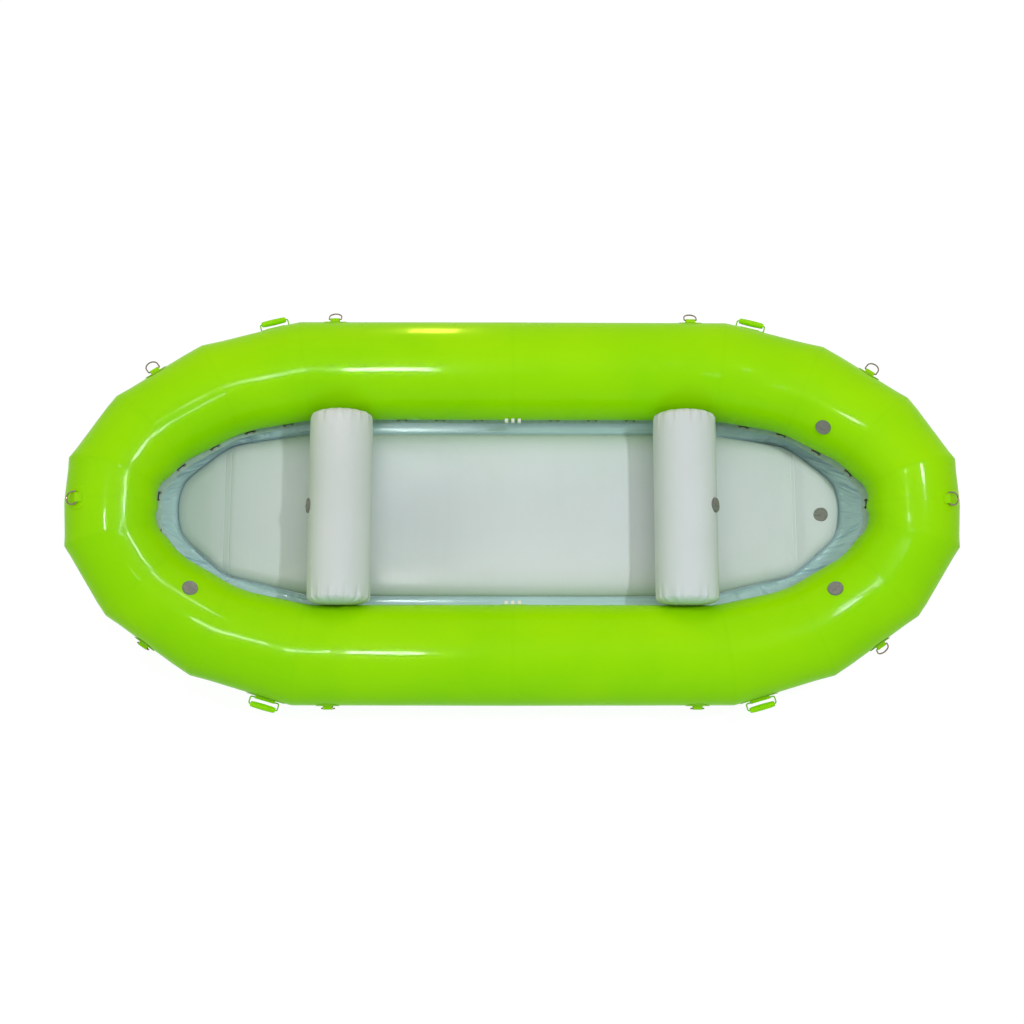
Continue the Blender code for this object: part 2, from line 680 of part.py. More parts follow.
for end, sign in (("bow", 1), ("stern", -1)):
    x = sign * THWART_SPACING / 2
    skin = add_cutter("skin_thwart_" + end, thwart_mesh("skin_thwart_" + end, x, -FIT))
    tilt = radians(90 - THWART_VALVE_TILTS[end]) * sign
    frame = Matrix.Translation((x, 0, THWART_HEIGHT)) @ Matrix.Rotation(tilt, 4, "Y")
    valve("thwart_" + end, frame @ Matrix.Translation((0, 0, THWART_RADIUS)), thwarts[end], skin)
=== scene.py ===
from math import cos, sin, tan, pi, radians, sqrt

import bmesh
import bpy
from mathutils import Matrix, Vector, noise


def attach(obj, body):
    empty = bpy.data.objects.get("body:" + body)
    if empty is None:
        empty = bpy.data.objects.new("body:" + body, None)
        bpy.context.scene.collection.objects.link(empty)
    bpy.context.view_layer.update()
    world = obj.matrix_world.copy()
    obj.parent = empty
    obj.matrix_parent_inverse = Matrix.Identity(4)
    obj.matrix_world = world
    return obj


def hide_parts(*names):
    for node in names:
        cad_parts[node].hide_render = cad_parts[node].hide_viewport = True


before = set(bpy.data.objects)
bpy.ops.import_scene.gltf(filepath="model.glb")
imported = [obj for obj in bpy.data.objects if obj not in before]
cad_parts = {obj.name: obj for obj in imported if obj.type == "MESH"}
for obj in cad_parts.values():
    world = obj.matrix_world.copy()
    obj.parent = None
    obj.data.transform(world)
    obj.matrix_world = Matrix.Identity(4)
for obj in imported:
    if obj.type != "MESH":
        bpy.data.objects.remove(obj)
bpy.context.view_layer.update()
print("frame loaded:", len(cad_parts), "nodes")


# Camera: above the raft, leaning a little towards the starboard side

view = {"location": (-0.0653, -1.0981, 6.9308), "turn": (9.2761, -0.5224, -0.002), "lens": 48.40}


def placeCamera():
    bpy.ops.object.camera_add(location=view["location"], rotation=[radians(a) for a in view["turn"]])
    camera = bpy.context.object
    camera.name = "raftCamera"
    camera.data.lens = view["lens"]
    camera.data.sensor_width = 36.0
    bpy.context.scene.camera = camera


placeCamera()
bpy.context.scene.view_settings.view_transform = "Standard"


# Handling pieces

def letGo():
    if bpy.context.object and bpy.context.object.mode != "OBJECT":
        bpy.ops.object.mode_set(mode="OBJECT")
    bpy.ops.object.select_all(action="DESELECT")


def pick(piece):
    letGo()
    piece.select_set(True)
    bpy.context.view_layer.objects.active = piece


def newest(name):
    piece = bpy.context.object
    piece.name = name
    piece.data.name = name
    return piece


def openMesh(piece):
    pick(piece)
    bpy.ops.object.mode_set(mode="EDIT")
    bpy.ops.mesh.select_mode(type="VERT")


def closeMesh(merge=0.0, outwards=False):
    bpy.ops.mesh.select_all(action="SELECT")
    if merge:
        bpy.ops.mesh.remove_doubles(threshold=merge)
    if outwards:
        bpy.ops.mesh.normals_make_consistent(inside=False)
    bpy.ops.object.mode_set(mode="OBJECT")


def addStep(piece, kind, **settings):
    # Adds a modifier and applies it at once.
    pick(piece)
    step = piece.modifiers.new(kind.lower(), kind)
    for key, value in settings.items():
        setattr(step, key, value)
    bpy.ops.object.modifier_apply(modifier=step.name)


def smoothOver(piece, angle=40):
    pick(piece)
    bpy.ops.object.shade_smooth_by_angle(angle=radians(angle))


def twin(model, name, place=None):
    piece = model.copy()
    piece.data = model.data.copy()
    piece.name = name
    piece.data.name = name
    bpy.context.scene.collection.objects.link(piece)
    if place is not None:
        piece.data.transform(place)
    return piece


def discard(*models):
    for model in models:
        bpy.data.objects.remove(model)


def join(name, pieces):
    letGo()
    for piece in pieces:
        piece.select_set(True)
    bpy.context.view_layer.objects.active = pieces[0]
    bpy.ops.object.join()
    return newest(name)


def block(name, size, place):
    letGo()
    bpy.ops.mesh.primitive_cube_add(size=1.0, location=(0, 0, 0))
    piece = newest(name)
    piece.data.transform(Matrix.Translation(place) @ Matrix.Diagonal((*size, 1.0)))
    return piece


def selectRing(piece, first, last=None):
    # Selects a run of vertices of the mesh that is open for editing.
    bpy.ops.mesh.select_all(action="DESELECT")
    mesh = bmesh.from_edit_mesh(piece.data)
    mesh.verts.ensure_lookup_table()
    for v in mesh.verts[first:last]:
        v.select = True
    mesh.select_flush(True)
    bmesh.update_edit_mesh(piece.data)


def camel(name):
    return "".join(word.capitalize() for word in name.split("_"))


def dress(piece, finish, body="hull", stands=(), slot=None):
    piece.data.materials.clear()
    piece.data.materials.append(finish)
    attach(piece, body)
    if stands:
        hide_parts(*stands)
        slot or stands[0]
    return piece


def bentGrid(name, columns, rows, place, closed=False):
    # A flat grid moved point by point to place(u, v). It keeps the grid's own UV map.
    letGo()
    bpy.ops.mesh.primitive_grid_add(x_subdivisions=columns, y_subdivisions=rows, size=1.0)
    piece = newest(name)
    for point in piece.data.vertices:
        point.co = place(point.co.x + 0.5, point.co.y + 0.5)
    if closed:
        openMesh(piece)
        closeMesh(merge=0.00002)
    return piece


def thicken(piece, thickness, offset=0.0, angle=40, even=True):
    addStep(piece, "SOLIDIFY", thickness=thickness, offset=offset, use_even_offset=even)
    openMesh(piece)
    closeMesh(outwards=True)
    smoothOver(piece, angle)


def turnedPiece(name, profile, sides, turn=0.0, angle=35):
    # Extrudes a ring from one (radius, height) point of the profile to the next.
    letGo()
    points = [(max(r, 0.00002), z) for r, z in profile]
    bpy.ops.mesh.primitive_circle_add(vertices=sides, radius=points[0][0], location=(0, 0, 0))
    piece = newest(name)
    piece.data.transform(Matrix.Translation((0, 0, points[0][1])) @ Matrix.Rotation(turn, 4, "Z"))
    openMesh(piece)
    bpy.ops.mesh.select_all(action="SELECT")
    for (near, low), (far, high) in zip(points, points[1:]):
        bpy.ops.mesh.extrude_region_move(TRANSFORM_OT_translate={"value": (0, 0, high - low)})
        share = far / near
        bpy.ops.transform.resize(value=(share, share, 1.0), center_override=(0, 0, high))
    closeMesh(merge=0.00006, outwards=True)
    smoothOver(piece, angle)
    return piece


def sweptPiece(name, path, radius, sides):
    # A closed round bar along a path, with u along it and v round it in its UV map.
    count = len(path)
    lengths = [0.0]
    for a, b in zip(path, path[1:] + path[:1]):
        lengths.append(lengths[-1] + (b - a).length)
    tangents = [(path[(i + 1) % count] - path[i - 1]).normalized() for i in range(count)]
    side = tangents[0].orthogonal().normalized()
    frames = []
    for tangent in tangents:
        side = (side - tangent * side.dot(tangent)).normalized()
        frames.append((side, tangent.cross(side)))

    def place(u, v):
        i = round(u * count) % count
        across, above = frames[i]
        angle = 2 * pi * v
        return path[i] + (across * cos(angle) + above * sin(angle)) * radius

    piece = bentGrid(name, count, sides, place, closed=True)
    for loop in piece.data.uv_layers[0].data:
        loop.uv = (lengths[round(loop.uv[0] * count)], loop.uv[1] * 2 * pi * radius)
    openMesh(piece)
    closeMesh(outwards=True)
    pick(piece)
    bpy.ops.object.shade_smooth()
    return piece


# Finishes

class Tap:
    # One output of a node. Sums written with it add Math nodes.
    def __init__(self, tree, socket):
        self.tree = tree
        self.socket = socket

    def math(self, operation, first, second=0.0, third=0.0):
        made = self.tree.nodes.new("ShaderNodeMath")
        made.operation = operation
        for slot, value in zip(made.inputs, (first, second, third)):
            if isinstance(value, Tap):
                self.tree.links.new(value.socket, slot)
            else:
                slot.default_value = value
        return Tap(self.tree, made.outputs[0])

    def __add__(self, other):
        return self.math("ADD", self, other)

    def __sub__(self, other):
        return self.math("SUBTRACT", self, other)

    def __rsub__(self, other):
        return self.math("SUBTRACT", other, self)

    def __mul__(self, other):
        return self.math("MULTIPLY", self, other)

    def __abs__(self):
        return self.math("ABSOLUTE", self)

    def sine(self):
        return self.math("SINE", self)

    def least(self, other):
        return self.math("MINIMUM", self, other)

    def most(self, other):
        return self.math("MAXIMUM", self, other)


class Finish:
    # A material in the making, with a Principled shader.
    def __init__(self, name, constants):
        self.material = bpy.data.materials.new(name)
        self.material.use_nodes = True
        self.tree = self.material.node_tree
        self.shader = self.tree.nodes["Principled BSDF"]
        for key, value in constants.items():
            self.shader.inputs[key].default_value = value

    def node(self, kind, settings=None, sockets=None, output=0):
        made = self.tree.nodes.new(kind)
        for key, value in (settings or {}).items():
            if key == "stops":
                ramp = made.color_ramp
                while len(ramp.elements) < len(value):
                    ramp.elements.new(0.5)
                for element, (place, colour) in zip(ramp.elements, value):
                    element.position = place
                    element.color = colour
            else:
                setattr(made, key, value)
        for key, value in (sockets or {}).items():
            if isinstance(value, Tap):
                self.tree.links.new(value.socket, made.inputs[key])
            else:
                made.inputs[key].default_value = value
        if isinstance(output, (list, tuple)):
            return [Tap(self.tree, made.outputs[o]) for o in output]
        return Tap(self.tree, made.outputs[output])

    def place(self, source="Object"):
        return self.node("ShaderNodeTexCoord", output=source)

    def parts(self, where):
        return self.node("ShaderNodeSeparateXYZ", {}, {"Vector": where}, output=("X", "Y", "Z"))

    def noise(self, where, scale, detail=2.0, rough=0.5, output=0):
        return self.node("ShaderNodeTexNoise", {}, {"Vector": where, "Scale": scale, "Detail": detail,
                                                    "Roughness": rough}, output)

    def stretch(self, where, scale):
        return self.node("ShaderNodeMapping", {}, {"Vector": where, "Scale": scale})

    def fade(self, value, low, high, start=0.0, end=1.0):
        return self.node("ShaderNodeMapRange", {"interpolation_type": "SMOOTHSTEP"},
                         {"Value": value, "From Min": low, "From Max": high, "To Min": start, "To Max": end})

    def blend(self, share, first, second, kind="MIX"):
        made = self.tree.nodes.new("ShaderNodeMix")
        made.data_type = "RGBA"
        made.blend_type = kind
        for slot, value in ((made.inputs[0], share), (made.inputs[6], first), (made.inputs[7], second)):
            if isinstance(value, Tap):
                self.tree.links.new(value.socket, slot)
            else:
                slot.default_value = value if slot is made.inputs[0] else (*value, 1.0)
        return Tap(self.tree, made.outputs[2])

    def feed(self, **inputs):
        names = {"colour": "Base Color", "roughness": "Roughness", "normal": "Normal"}
        for key, value in inputs.items():
            self.tree.links.new(value.socket, self.shader.inputs[names[key]])

    def bump(self, height, distance, strength=1.0, under=None):
        sockets = {"Height": height, "Distance": distance, "Strength": strength}
        if under is not None:
            sockets["Normal"] = under
        return self.node("ShaderNodeBump", {}, sockets)


# The raft's own geometry, in metres

hull = {
    "length": 4.27, "width": 1.90, "radius": 0.2425, "endRadius": 0.215, "sides": 24,
    "panelLengths": (0.43, 0.40, 0.265), "panelHeadings": (15.0, 34.0, 58.0),
    "panelRises": (0.055, 0.060, 0.065),
    "proud": 0.0010,        # how far the round fabric stands over the solid's flat facets
    "around": 96, "wall": 0.0016, "seamPinch": 0.0004,
    "drawnIn": (0.0, 0.07, 0.10, 0.074, 0.052, 0.0),    # how far the fabric rounds off each inner corner
    "ringGaps": (0.011, 0.03, 0.05, 0.072, 0.098), "keptGap": 0.012,
}
thwartSpacing, thwartHeight = 1.675, 0.35
thwartTilts = {"bow": 30.0, "stern": 15.0}      # from level, of each thwart's valve and seam
up = Vector((0, 0, 1))


def quarterPath():
    # Centres and radii from the middle of the port side to the middle of the bow.
    run = sum(n * cos(radians(h)) for n, h in zip(hull["panelLengths"], hull["panelHeadings"]))
    corner = Vector((hull["length"] / 2 - hull["endRadius"] - run, hull["width"] / 2 - hull["radius"],
                     hull["radius"]))
    centres = [Vector((0, corner.y, corner.z)), corner]
    radii = [hull["radius"]] * 2
    gone = 0.0
    for length, heading, rise in zip(hull["panelLengths"], hull["panelHeadings"], hull["panelRises"]):
        turn = radians(heading)
        centres.append(centres[-1] + Vector((length * cos(turn), -length * sin(turn), rise)))
        gone += length / sum(hull["panelLengths"])
        radii.append(hull["radius"] + (hull["endRadius"] - hull["radius"]) * gone)
    centres.append(Vector((centres[-1].x, 0, centres[-1].z)))
    radii.append(hull["endRadius"])
    return centres, radii


def mirrored(point, sx, sy):
    return Vector((point[0] * sx, point[1] * sy, point[2]))


def allRound(quarter, flip=mirrored):
    return ([flip(item, 1, 1) for item in quarter]
            + [flip(item, 1, -1) for item in reversed(quarter[:-1])]
            + [flip(item, -1, -1) for item in quarter[1:]]
            + [flip(item, -1, 1) for item in reversed(quarter[1:-1])])


def facetRing(centre, before, after, apothem):
    outboard = up.cross(before).normalized()
    above = before.cross(outboard)
    plane = (before + after).normalized()
    step = 2 * pi / hull["sides"]
    ring = []
    for k in range(hull["sides"]):
        angle = (k + 0.5) * step
        corner = centre + (outboard * cos(angle) + above * sin(angle)) * (apothem / cos(step / 2))
        ring.append(corner + before * ((centre - corner).dot(plane) / before.dot(plane)))
    return ring


def facetRings():
    centres, radii = quarterPath()
    runs = [(b - a).normalized() for a, b in zip(centres, centres[1:])]
    runs = [runs[0], *runs, runs[-1]]
    quarter = [facetRing(c, runs[i], runs[i + 1], r) for i, (c, r) in enumerate(zip(centres, radii))]
    return allRound(quarter, lambda ring, sx, sy: [mirrored(p, sx, sy) for p in ring])


facets = facetRings()


def facetFrame(quarter, panel, share, clock):
    # On the outside of a panel: X along the tube, Z outwards. The clock counts up from outboard.
    end, side = quarter.split("_")
    onward = (end == "bow") == (side == "port")
    station = {"bow_port": panel, "bow_starboard": 9 - panel, "stern_starboard": 10 + panel,
               "stern_port": 19 - panel}[quarter]
    near, far = facets[station], facets[(station + 1) % 20]
    j = round(clock / 15)
    start, finish = (near[j - 1] + near[j]) / 2, (far[j - 1] + far[j]) / 2
    along = (finish - start).normalized()
    out = (near[j] - near[j - 1] + far[j] - far[j - 1]).cross(along).normalized()
    made = Matrix((along, out.cross(along), out)).transposed().to_4x4()
    made.translation = start.lerp(finish, share if onward else 1 - share)
    return made


centres, radii = quarterPath()
ringCentres = allRound(centres)
ringRadii = radii + radii[:-1][::-1] + radii[1:] + radii[1:-1][::-1]


def drawnIn(station, gap):
    # How far the fabric is drawn off an inner corner at a distance from its mitre.
    reach = hull["drawnIn"][station]
    if abs(gap) >= reach:
        return 0.0
    bend = (centres[station] - centres[station - 1]).angle(centres[station + 1] - centres[station])
    return tan(bend / 2) * (reach - abs(gap)) ** 2 / (2 * reach)


# Lime coated fabric of the tubes, with its seams where the panels meet

lime = {"fresh": (0.310, 0.700, 0.0), "deep": (0.268, 0.665, 0.0), "seam": (0.19, 0.56, 0.0)}


def seamDistance(finish, where):
    # Distance to the nearest seam between two panels, from the planes that halve the bends.
    x, y, z = finish.parts(where)
    x, y = abs(x), abs(y)
    nearest = x.least(y)
    for before, centre, after in zip(centres, centres[1:], centres[2:]):
        plane = ((centre - before).normalized() + (after - centre).normalized()).normalized()
        gap = abs(x * plane.x + y * plane.y + z * plane.z - centre.dot(plane))
        nearest = nearest.least(gap)
    return nearest


def limeFabric(name="limeFabric", seams=True, gloss=1.0):
    finish = Finish(name, {"Coat Roughness": 0.055, "Coat IOR": 2.4, "Specular IOR Level": 0.02})
    where = finish.place()
    broad = finish.noise(where, 2.2, 3.0)
    cloud = finish.noise(where, 14.0, 4.0, 0.6)
    grain = finish.noise(where, 900.0, 2.0)
    dull = finish.noise(finish.stretch(where, (1.0, 1.6, 1.0)), 5.0, 5.0, 0.65)
    colour = finish.blend(finish.fade(broad, 0.3, 0.7), lime["deep"], lime["fresh"])
    colour = finish.blend(finish.fade(cloud, 0.35, 0.75, 0.0, 0.22), colour, lime["fresh"])
    roughness = finish.fade(dull, 0.3, 0.75, 0.24, 0.38)
    normal = finish.bump(grain, 0.00010, 0.25)
    waves = finish.noise(where, 4.0, 1.0)
    normal = finish.bump(waves, 0.005, 0.22, normal)
    if seams:
        gap = seamDistance(finish, where)
        line = 1.0 - finish.fade(gap, 0.0004, 0.0016)
        band = 1.0 - finish.fade(gap, 0.0125, 0.0145)
        near = 1.0 - finish.fade(gap, 0.004, 0.06)
        colour = finish.blend(line * 0.22 + band * 0.05, colour, lime["seam"])
        pucker = finish.noise(where, 30.0, 2.0) * near
        normal = finish.bump(pucker, 0.0016, 0.45, normal)
        normal = finish.bump(band * 0.5 - line * 0.2, 0.0005, 0.5, normal)
    finish.feed(colour=colour, roughness=roughness, normal=normal)
    finish.shader.inputs["Coat Weight"].default_value = 0.018 * gloss
    return finish.material


def greyFabric(name, light, shade, rough=(0.40, 0.55), coat=0.04, shine=0.2, lines=(), tape=None):
    # Grey coated fabric. The lines are the X and the width of each seam across the floor, the tape
    # the end of the boat and the tilt of the seam along a thwart.
    finish = Finish(name, {"Coat Roughness": 0.22, "Specular IOR Level": shine, "Coat Weight": coat})
    where = finish.place()
    broad = finish.noise(where, 1.7, 3.0)
    cloud = finish.noise(where, 11.0, 4.0, 0.6)
    grain = finish.noise(where, 700.0, 2.0)
    weave = finish.node("ShaderNodeTexWave", {"bands_direction": "X"},
                        {"Vector": where, "Scale": 160.0, "Distortion": 0.6, "Detail": 1.0})
    weft = finish.node("ShaderNodeTexWave", {"bands_direction": "Y"},
                       {"Vector": where, "Scale": 160.0, "Distortion": 0.6, "Detail": 1.0})
    colour = finish.blend(finish.fade(broad, 0.3, 0.7), shade, light)
    colour = finish.blend(finish.fade(cloud, 0.4, 0.8, 0.0, 0.25), colour, light)
    roughness = finish.fade(cloud, 0.3, 0.75, *rough)
    normal = finish.bump(grain * 0.6 + (weave + weft) * 0.25, 0.00012, 0.4)
    normal = finish.bump(finish.noise(where, 7.0, 2.0), 0.004, 0.35, normal)
    if lines:
        x, y, z = finish.parts(where)
        # Each seam across the floor is painted as a lighter line: the seam itself, with a painted highlight along it.
        for place, width in lines:
            gap = abs(x - place)
            line = 1.0 - finish.fade(gap, width * 0.35, width)
            colour = finish.blend(line * 0.5, colour, (0.78, 0.83, 0.86))
            normal = finish.bump(0.0 - line, 0.0016, 0.8, normal)
        bands = finish.noise(finish.stretch(where, (1.0, 0.10, 1.0)), 24.0, 2.0)
        colour = finish.blend(finish.fade(bands, 0.40, 0.66, 0.0, 0.20), colour, light)
        normal = finish.bump(bands, 0.004, 0.25, normal)
        # Painted shade: the floor's colour darkens to a greenish grey towards the stern end, the nose and the sides.
        # This stands in for the shade near its edges and the green light off the tubes.
        aft = finish.fade(0.0 - x, 1.30, 1.62) * 0.75
        nose = finish.fade(x, 1.50, 1.68) * 0.35
        sides = finish.fade(abs(y), 0.30, 0.43) * 0.45
        colour = finish.blend(aft.most(nose).most(sides), colour, (0.36, 0.46, 0.41))
    if tape:
        x, y, z = finish.parts(where)
        end, tilt = tape[0], radians(tape[1])
        along, rise = x - end * thwartSpacing / 2, z - thwartHeight
        outward = along * (end * cos(tilt)) + rise * sin(tilt)
        gap = abs(rise * cos(tilt) - along * (end * sin(tilt)))
        there = finish.fade(outward, 0.10, 0.12)
        band = (1.0 - finish.fade(gap, 0.0185, 0.0200)) * there
        edge = (1.0 - finish.fade(abs(gap - 0.0195), 0.0006, 0.0022)) * there
        colour = finish.blend(edge * 0.25, colour, [c * 0.7 for c in shade])
        normal = finish.bump(band, 0.0009, 0.8, normal)
    finish.feed(colour=colour, roughness=roughness, normal=normal)
    return finish.material


def stripFabric(name, base, worn):
    # Dull reinforced fabric with a plain weave that follows the strip.
    finish = Finish(name, {"Specular IOR Level": 0.3})
    where = finish.place()
    cloud = finish.noise(where, 35.0, 4.0, 0.6)
    weave = finish.noise(where, 650.0, 3.0)
    colour = finish.blend(finish.fade(cloud, 0.35, 0.7), base, worn)
    roughness = finish.fade(cloud, 0.3, 0.7, 0.45, 0.65)
    finish.feed(colour=colour, roughness=roughness, normal=finish.bump(weave, 0.0002, 0.6))
    return finish.material


def webbing(name, light, dark, pitch=0.0022):
    # Woven tape: ribs along it from the piece's own UV map, in metres.
    finish = Finish(name, {"Specular IOR Level": 0.08})
    where = finish.place("UV")
    u, v, w = finish.parts(where)
    rib = (u * (2 * pi / pitch)).sine()
    weft = (v * (2 * pi / pitch * 1.6) + rib * 1.2).sine()
    weave = rib * 0.25 + weft * 0.25 + 0.5
    cloud = finish.noise(finish.place(), 60.0, 3.0)
    colour = finish.blend(finish.fade(weave, 0.1, 0.8), dark, light)
    colour = finish.blend(finish.fade(cloud, 0.4, 0.8, 0.0, 0.2), colour, dark)
    finish.feed(colour=colour, roughness=finish.fade(cloud, 0.3, 0.8, 0.55, 0.75),
                normal=finish.bump(weave, 0.0005, 0.8))
    return finish.material


def braid(name, light, dark, pitch=0.006, turns=0.0188):
    # Braided cord: two sets of strands crossing, from u along the cord and v round it.
    finish = Finish(name, {"Specular IOR Level": 0.12})
    where = finish.place("UV")
    u, v, w = finish.parts(where)
    left = (u * (2 * pi / pitch) + v * (2 * pi * 3 / turns)).sine()
    right = (u * (2 * pi / pitch) - v * (2 * pi * 3 / turns)).sine()
    strands = left.most(right) * 0.5 + 0.5
    colour = finish.blend(finish.fade(strands, 0.2, 0.95), dark, light)
    cloud = finish.noise(finish.place(), 90.0, 3.0)
    finish.feed(colour=colour, roughness=finish.fade(cloud, 0.3, 0.8, 0.5, 0.75),
                normal=finish.bump(strands, 0.0006, 0.9))
    return finish.material


def metal(name, bright, dull, rough=(0.18, 0.38)):
    finish = Finish(name, {"Metallic": 1.0})
    where = finish.place()
    cloud = finish.noise(where, 120.0, 4.0, 0.6)
    scuff = finish.noise(finish.stretch(where, (1.0, 1.0, 6.0)), 260.0, 3.0)
    colour = finish.blend(finish.fade(cloud, 0.35, 0.75), dull, bright)
    finish.feed(colour=colour, roughness=finish.fade(scuff, 0.3, 0.8, *rough),
                normal=finish.bump(scuff, 0.0001, 0.4))
    return finish.material


def mouldedPlastic(name, base, worn, pattern=None, rough=(0.42, 0.6), shine=0.4):
    # The pattern is a piece's own UV map in metres: a diamond knurl where it is given.
    finish = Finish(name, {"Specular IOR Level": shine})
    where = finish.place()
    cloud = finish.noise(where, 70.0, 4.0, 0.6)
    pits = finish.noise(where, 1500.0, 2.0)
    colour = finish.blend(finish.fade(cloud, 0.35, 0.75), base, worn)
    normal = finish.bump(pits, 0.0001, 0.5)
    if pattern:
        u, v, w = finish.parts(finish.place("UV"))
        knurl = ((u + v) * (2 * pi / pattern)).sine().most(((u - v) * (2 * pi / pattern)).sine())
        groove = finish.fade(knurl, 0.55, 0.95)
        # The knurl's grooves are painted darker: painted shade in the recesses.
        colour = finish.blend(groove * 0.55, colour, [c * 0.45 for c in base])
        normal = finish.bump(0.0 - groove, 0.0008, 0.8, normal)
    finish.feed(colour=colour, roughness=finish.fade(cloud, 0.3, 0.8, *rough), normal=normal)
    return finish.material


paint = {
    "tube": limeFabric(),
    "patch": limeFabric("limePatchFabric", seams=False, gloss=0.7),
    "floor": greyFabric("floorFabric", (0.64, 0.68, 0.715), (0.60, 0.645, 0.665),
                        lines=((-1.445, 0.004), (-1.415, 0.004), (1.406, 0.004), (1.423, 0.004))),
    # The two thwarts' fabrics are lit and shaded copies of one grey. The stern one is painted a little darker and less
    # blue, as painted shade.
    "thwartBow": greyFabric("thwartFabricBow", (0.60, 0.635, 0.645), (0.56, 0.60, 0.605), rough=(0.5, 0.65), coat=0.0,
                            tape=(1, thwartTilts["bow"])),
    "thwartStern": greyFabric("thwartFabricStern", (0.59, 0.62, 0.62), (0.55, 0.585, 0.58), rough=(0.5, 0.65),
                              coat=0.0, tape=(-1, thwartTilts["stern"])),
    "flap": greyFabric("flapFabric", (0.46, 0.64, 0.68), (0.36, 0.51, 0.54), rough=(0.3, 0.45), coat=0.5),
    "lace": stripFabric("laceStripFabric", (0.38, 0.49, 0.49), (0.45, 0.57, 0.58)),
    "baffle": stripFabric("baffleFabric", (0.45, 0.52, 0.52), (0.55, 0.62, 0.62)),
    "cord": braid("lacingCordBraid", (0.06, 0.045, 0.035), (0.010, 0.008, 0.006)),
    "rope": braid("handleRopeBraid", (0.24, 0.62, 0.0), (0.14, 0.44, 0.0), turns=0.022),
    "tab": webbing("limeWebbing", (0.32, 0.71, 0.0), (0.25, 0.62, 0.0)),
    "loop": webbing("whiteWebbing", (0.86, 0.84, 0.78), (0.72, 0.70, 0.62)),
    "grip": mouldedPlastic("limeGripRubber", (0.26, 0.66, 0.0), (0.32, 0.72, 0.0), rough=(0.3, 0.45), shine=0.08),
    # The rings' steel is painted a dark brown: a painted reflection of dark surroundings, darker than bare steel.
    "steel": metal("ringSteel", (0.34, 0.27, 0.20), (0.20, 0.155, 0.11), rough=(0.28, 0.45)),
    "brass": metal("eyeletBrass", (0.33, 0.24, 0.13), (0.17, 0.12, 0.07), rough=(0.3, 0.5)),
    "valve": mouldedPlastic("valvePlastic", (0.13, 0.13, 0.115), (0.19, 0.19, 0.17)),
    "cap": mouldedPlastic("valveCapPlastic", (0.20, 0.20, 0.175), (0.27, 0.27, 0.24), pattern=0.009),
}
print("finishes made:", len(paint))


# Tubes

def ringCircle(centre, before, after, radius):
    # A circle in the plane that halves the bend, drawn out across it so that both panels stay round.
    plane = (before + after).normalized()
    pivot = before.cross(after)
    if pivot.length < 0.001:
        pivot = up - plane * up.dot(plane)
    pivot.normalize()
    if pivot.z < 0:
        pivot = -pivot
    reach = pivot.cross(plane)
    turn = Matrix((reach, pivot, plane)).transposed().to_euler()
    bpy.ops.mesh.primitive_circle_add(vertices=hull["around"], radius=radius, location=centre,
                                      rotation=turn, scale=(1 / before.dot(plane), 1, 1))


def hullTube(name, first, last):
    count = len(ringCentres)
    spots = []
    for i in range(first, last + 1):
        here = ringCentres[i % count]
        before = (here - ringCentres[(i - 1) % count]).normalized()
        after = (ringCentres[(i + 1) % count] - here).normalized()
        radius = ringRadii[i % count] + hull["proud"]
        station = i % 10 if i % 10 <= 5 else 10 - i % 10
        for gap in (*[-g for g in reversed(hull["ringGaps"])], 0.0, *hull["ringGaps"]):
            outside = (i == first and gap < 0) or (i == last and gap > 0)
            if outside or abs(gap) > max(hull["keptGap"], hull["drawnIn"][station]):
                continue
            run = before if gap < 0 else after
            pinch = hull["seamPinch"] if gap == 0 else 0.0
            spots.append((here + run * gap, before, after, radius - pinch, run, drawnIn(station, gap)))
    letGo()
    ringCircle(*spots[0][:4])
    piece = newest(name)
    pick(piece)
    bpy.ops.object.transform_apply(location=True, rotation=True, scale=True)
    openMesh(piece)
    for spot in spots[1:]:
        ringCircle(*spot[:4])
    mesh = bmesh.from_edit_mesh(piece.data)
    mesh.verts.ensure_lookup_table()
    n = hull["around"]
    for k, (centre, before, after, radius, run, fill) in enumerate(spots):
        outboard = up.cross(run).normalized()
        for v in mesh.verts[k * n:(k + 1) * n]:
            radial = v.co - centre
            radial = (radial - run * radial.dot(run)).normalized()
            v.co += radial * (fill * max(0.0, -radial.dot(outboard)))
    bmesh.update_edit_mesh(piece.data)
    for k in range(len(spots) - 1):
        selectRing(piece, k * n, (k + 2) * n)
        bpy.ops.mesh.bridge_edge_loops(type="SINGLE")
    closeMesh(outwards=True)
    thicken(piece, hull["wall"], -1.0, angle=60)
    return piece


for name, node, first, last in (("hullTubeBowPort", "tube_bow_port", 0, 5),
                                ("hullTubeBowStarboard", "tube_bow_starboard", 5, 10),
                                ("hullTubeStern", "tube_stern", 10, 20)):
    dress(hullTube(name, first, last), paint["tube"], stands=(node,))
for node in ("baffle_bow", "baffle_port", "baffle_starboard"):
    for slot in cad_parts[node].material_slots:
        slot.material = paint["baffle"]
print("tubes made")


# Floor

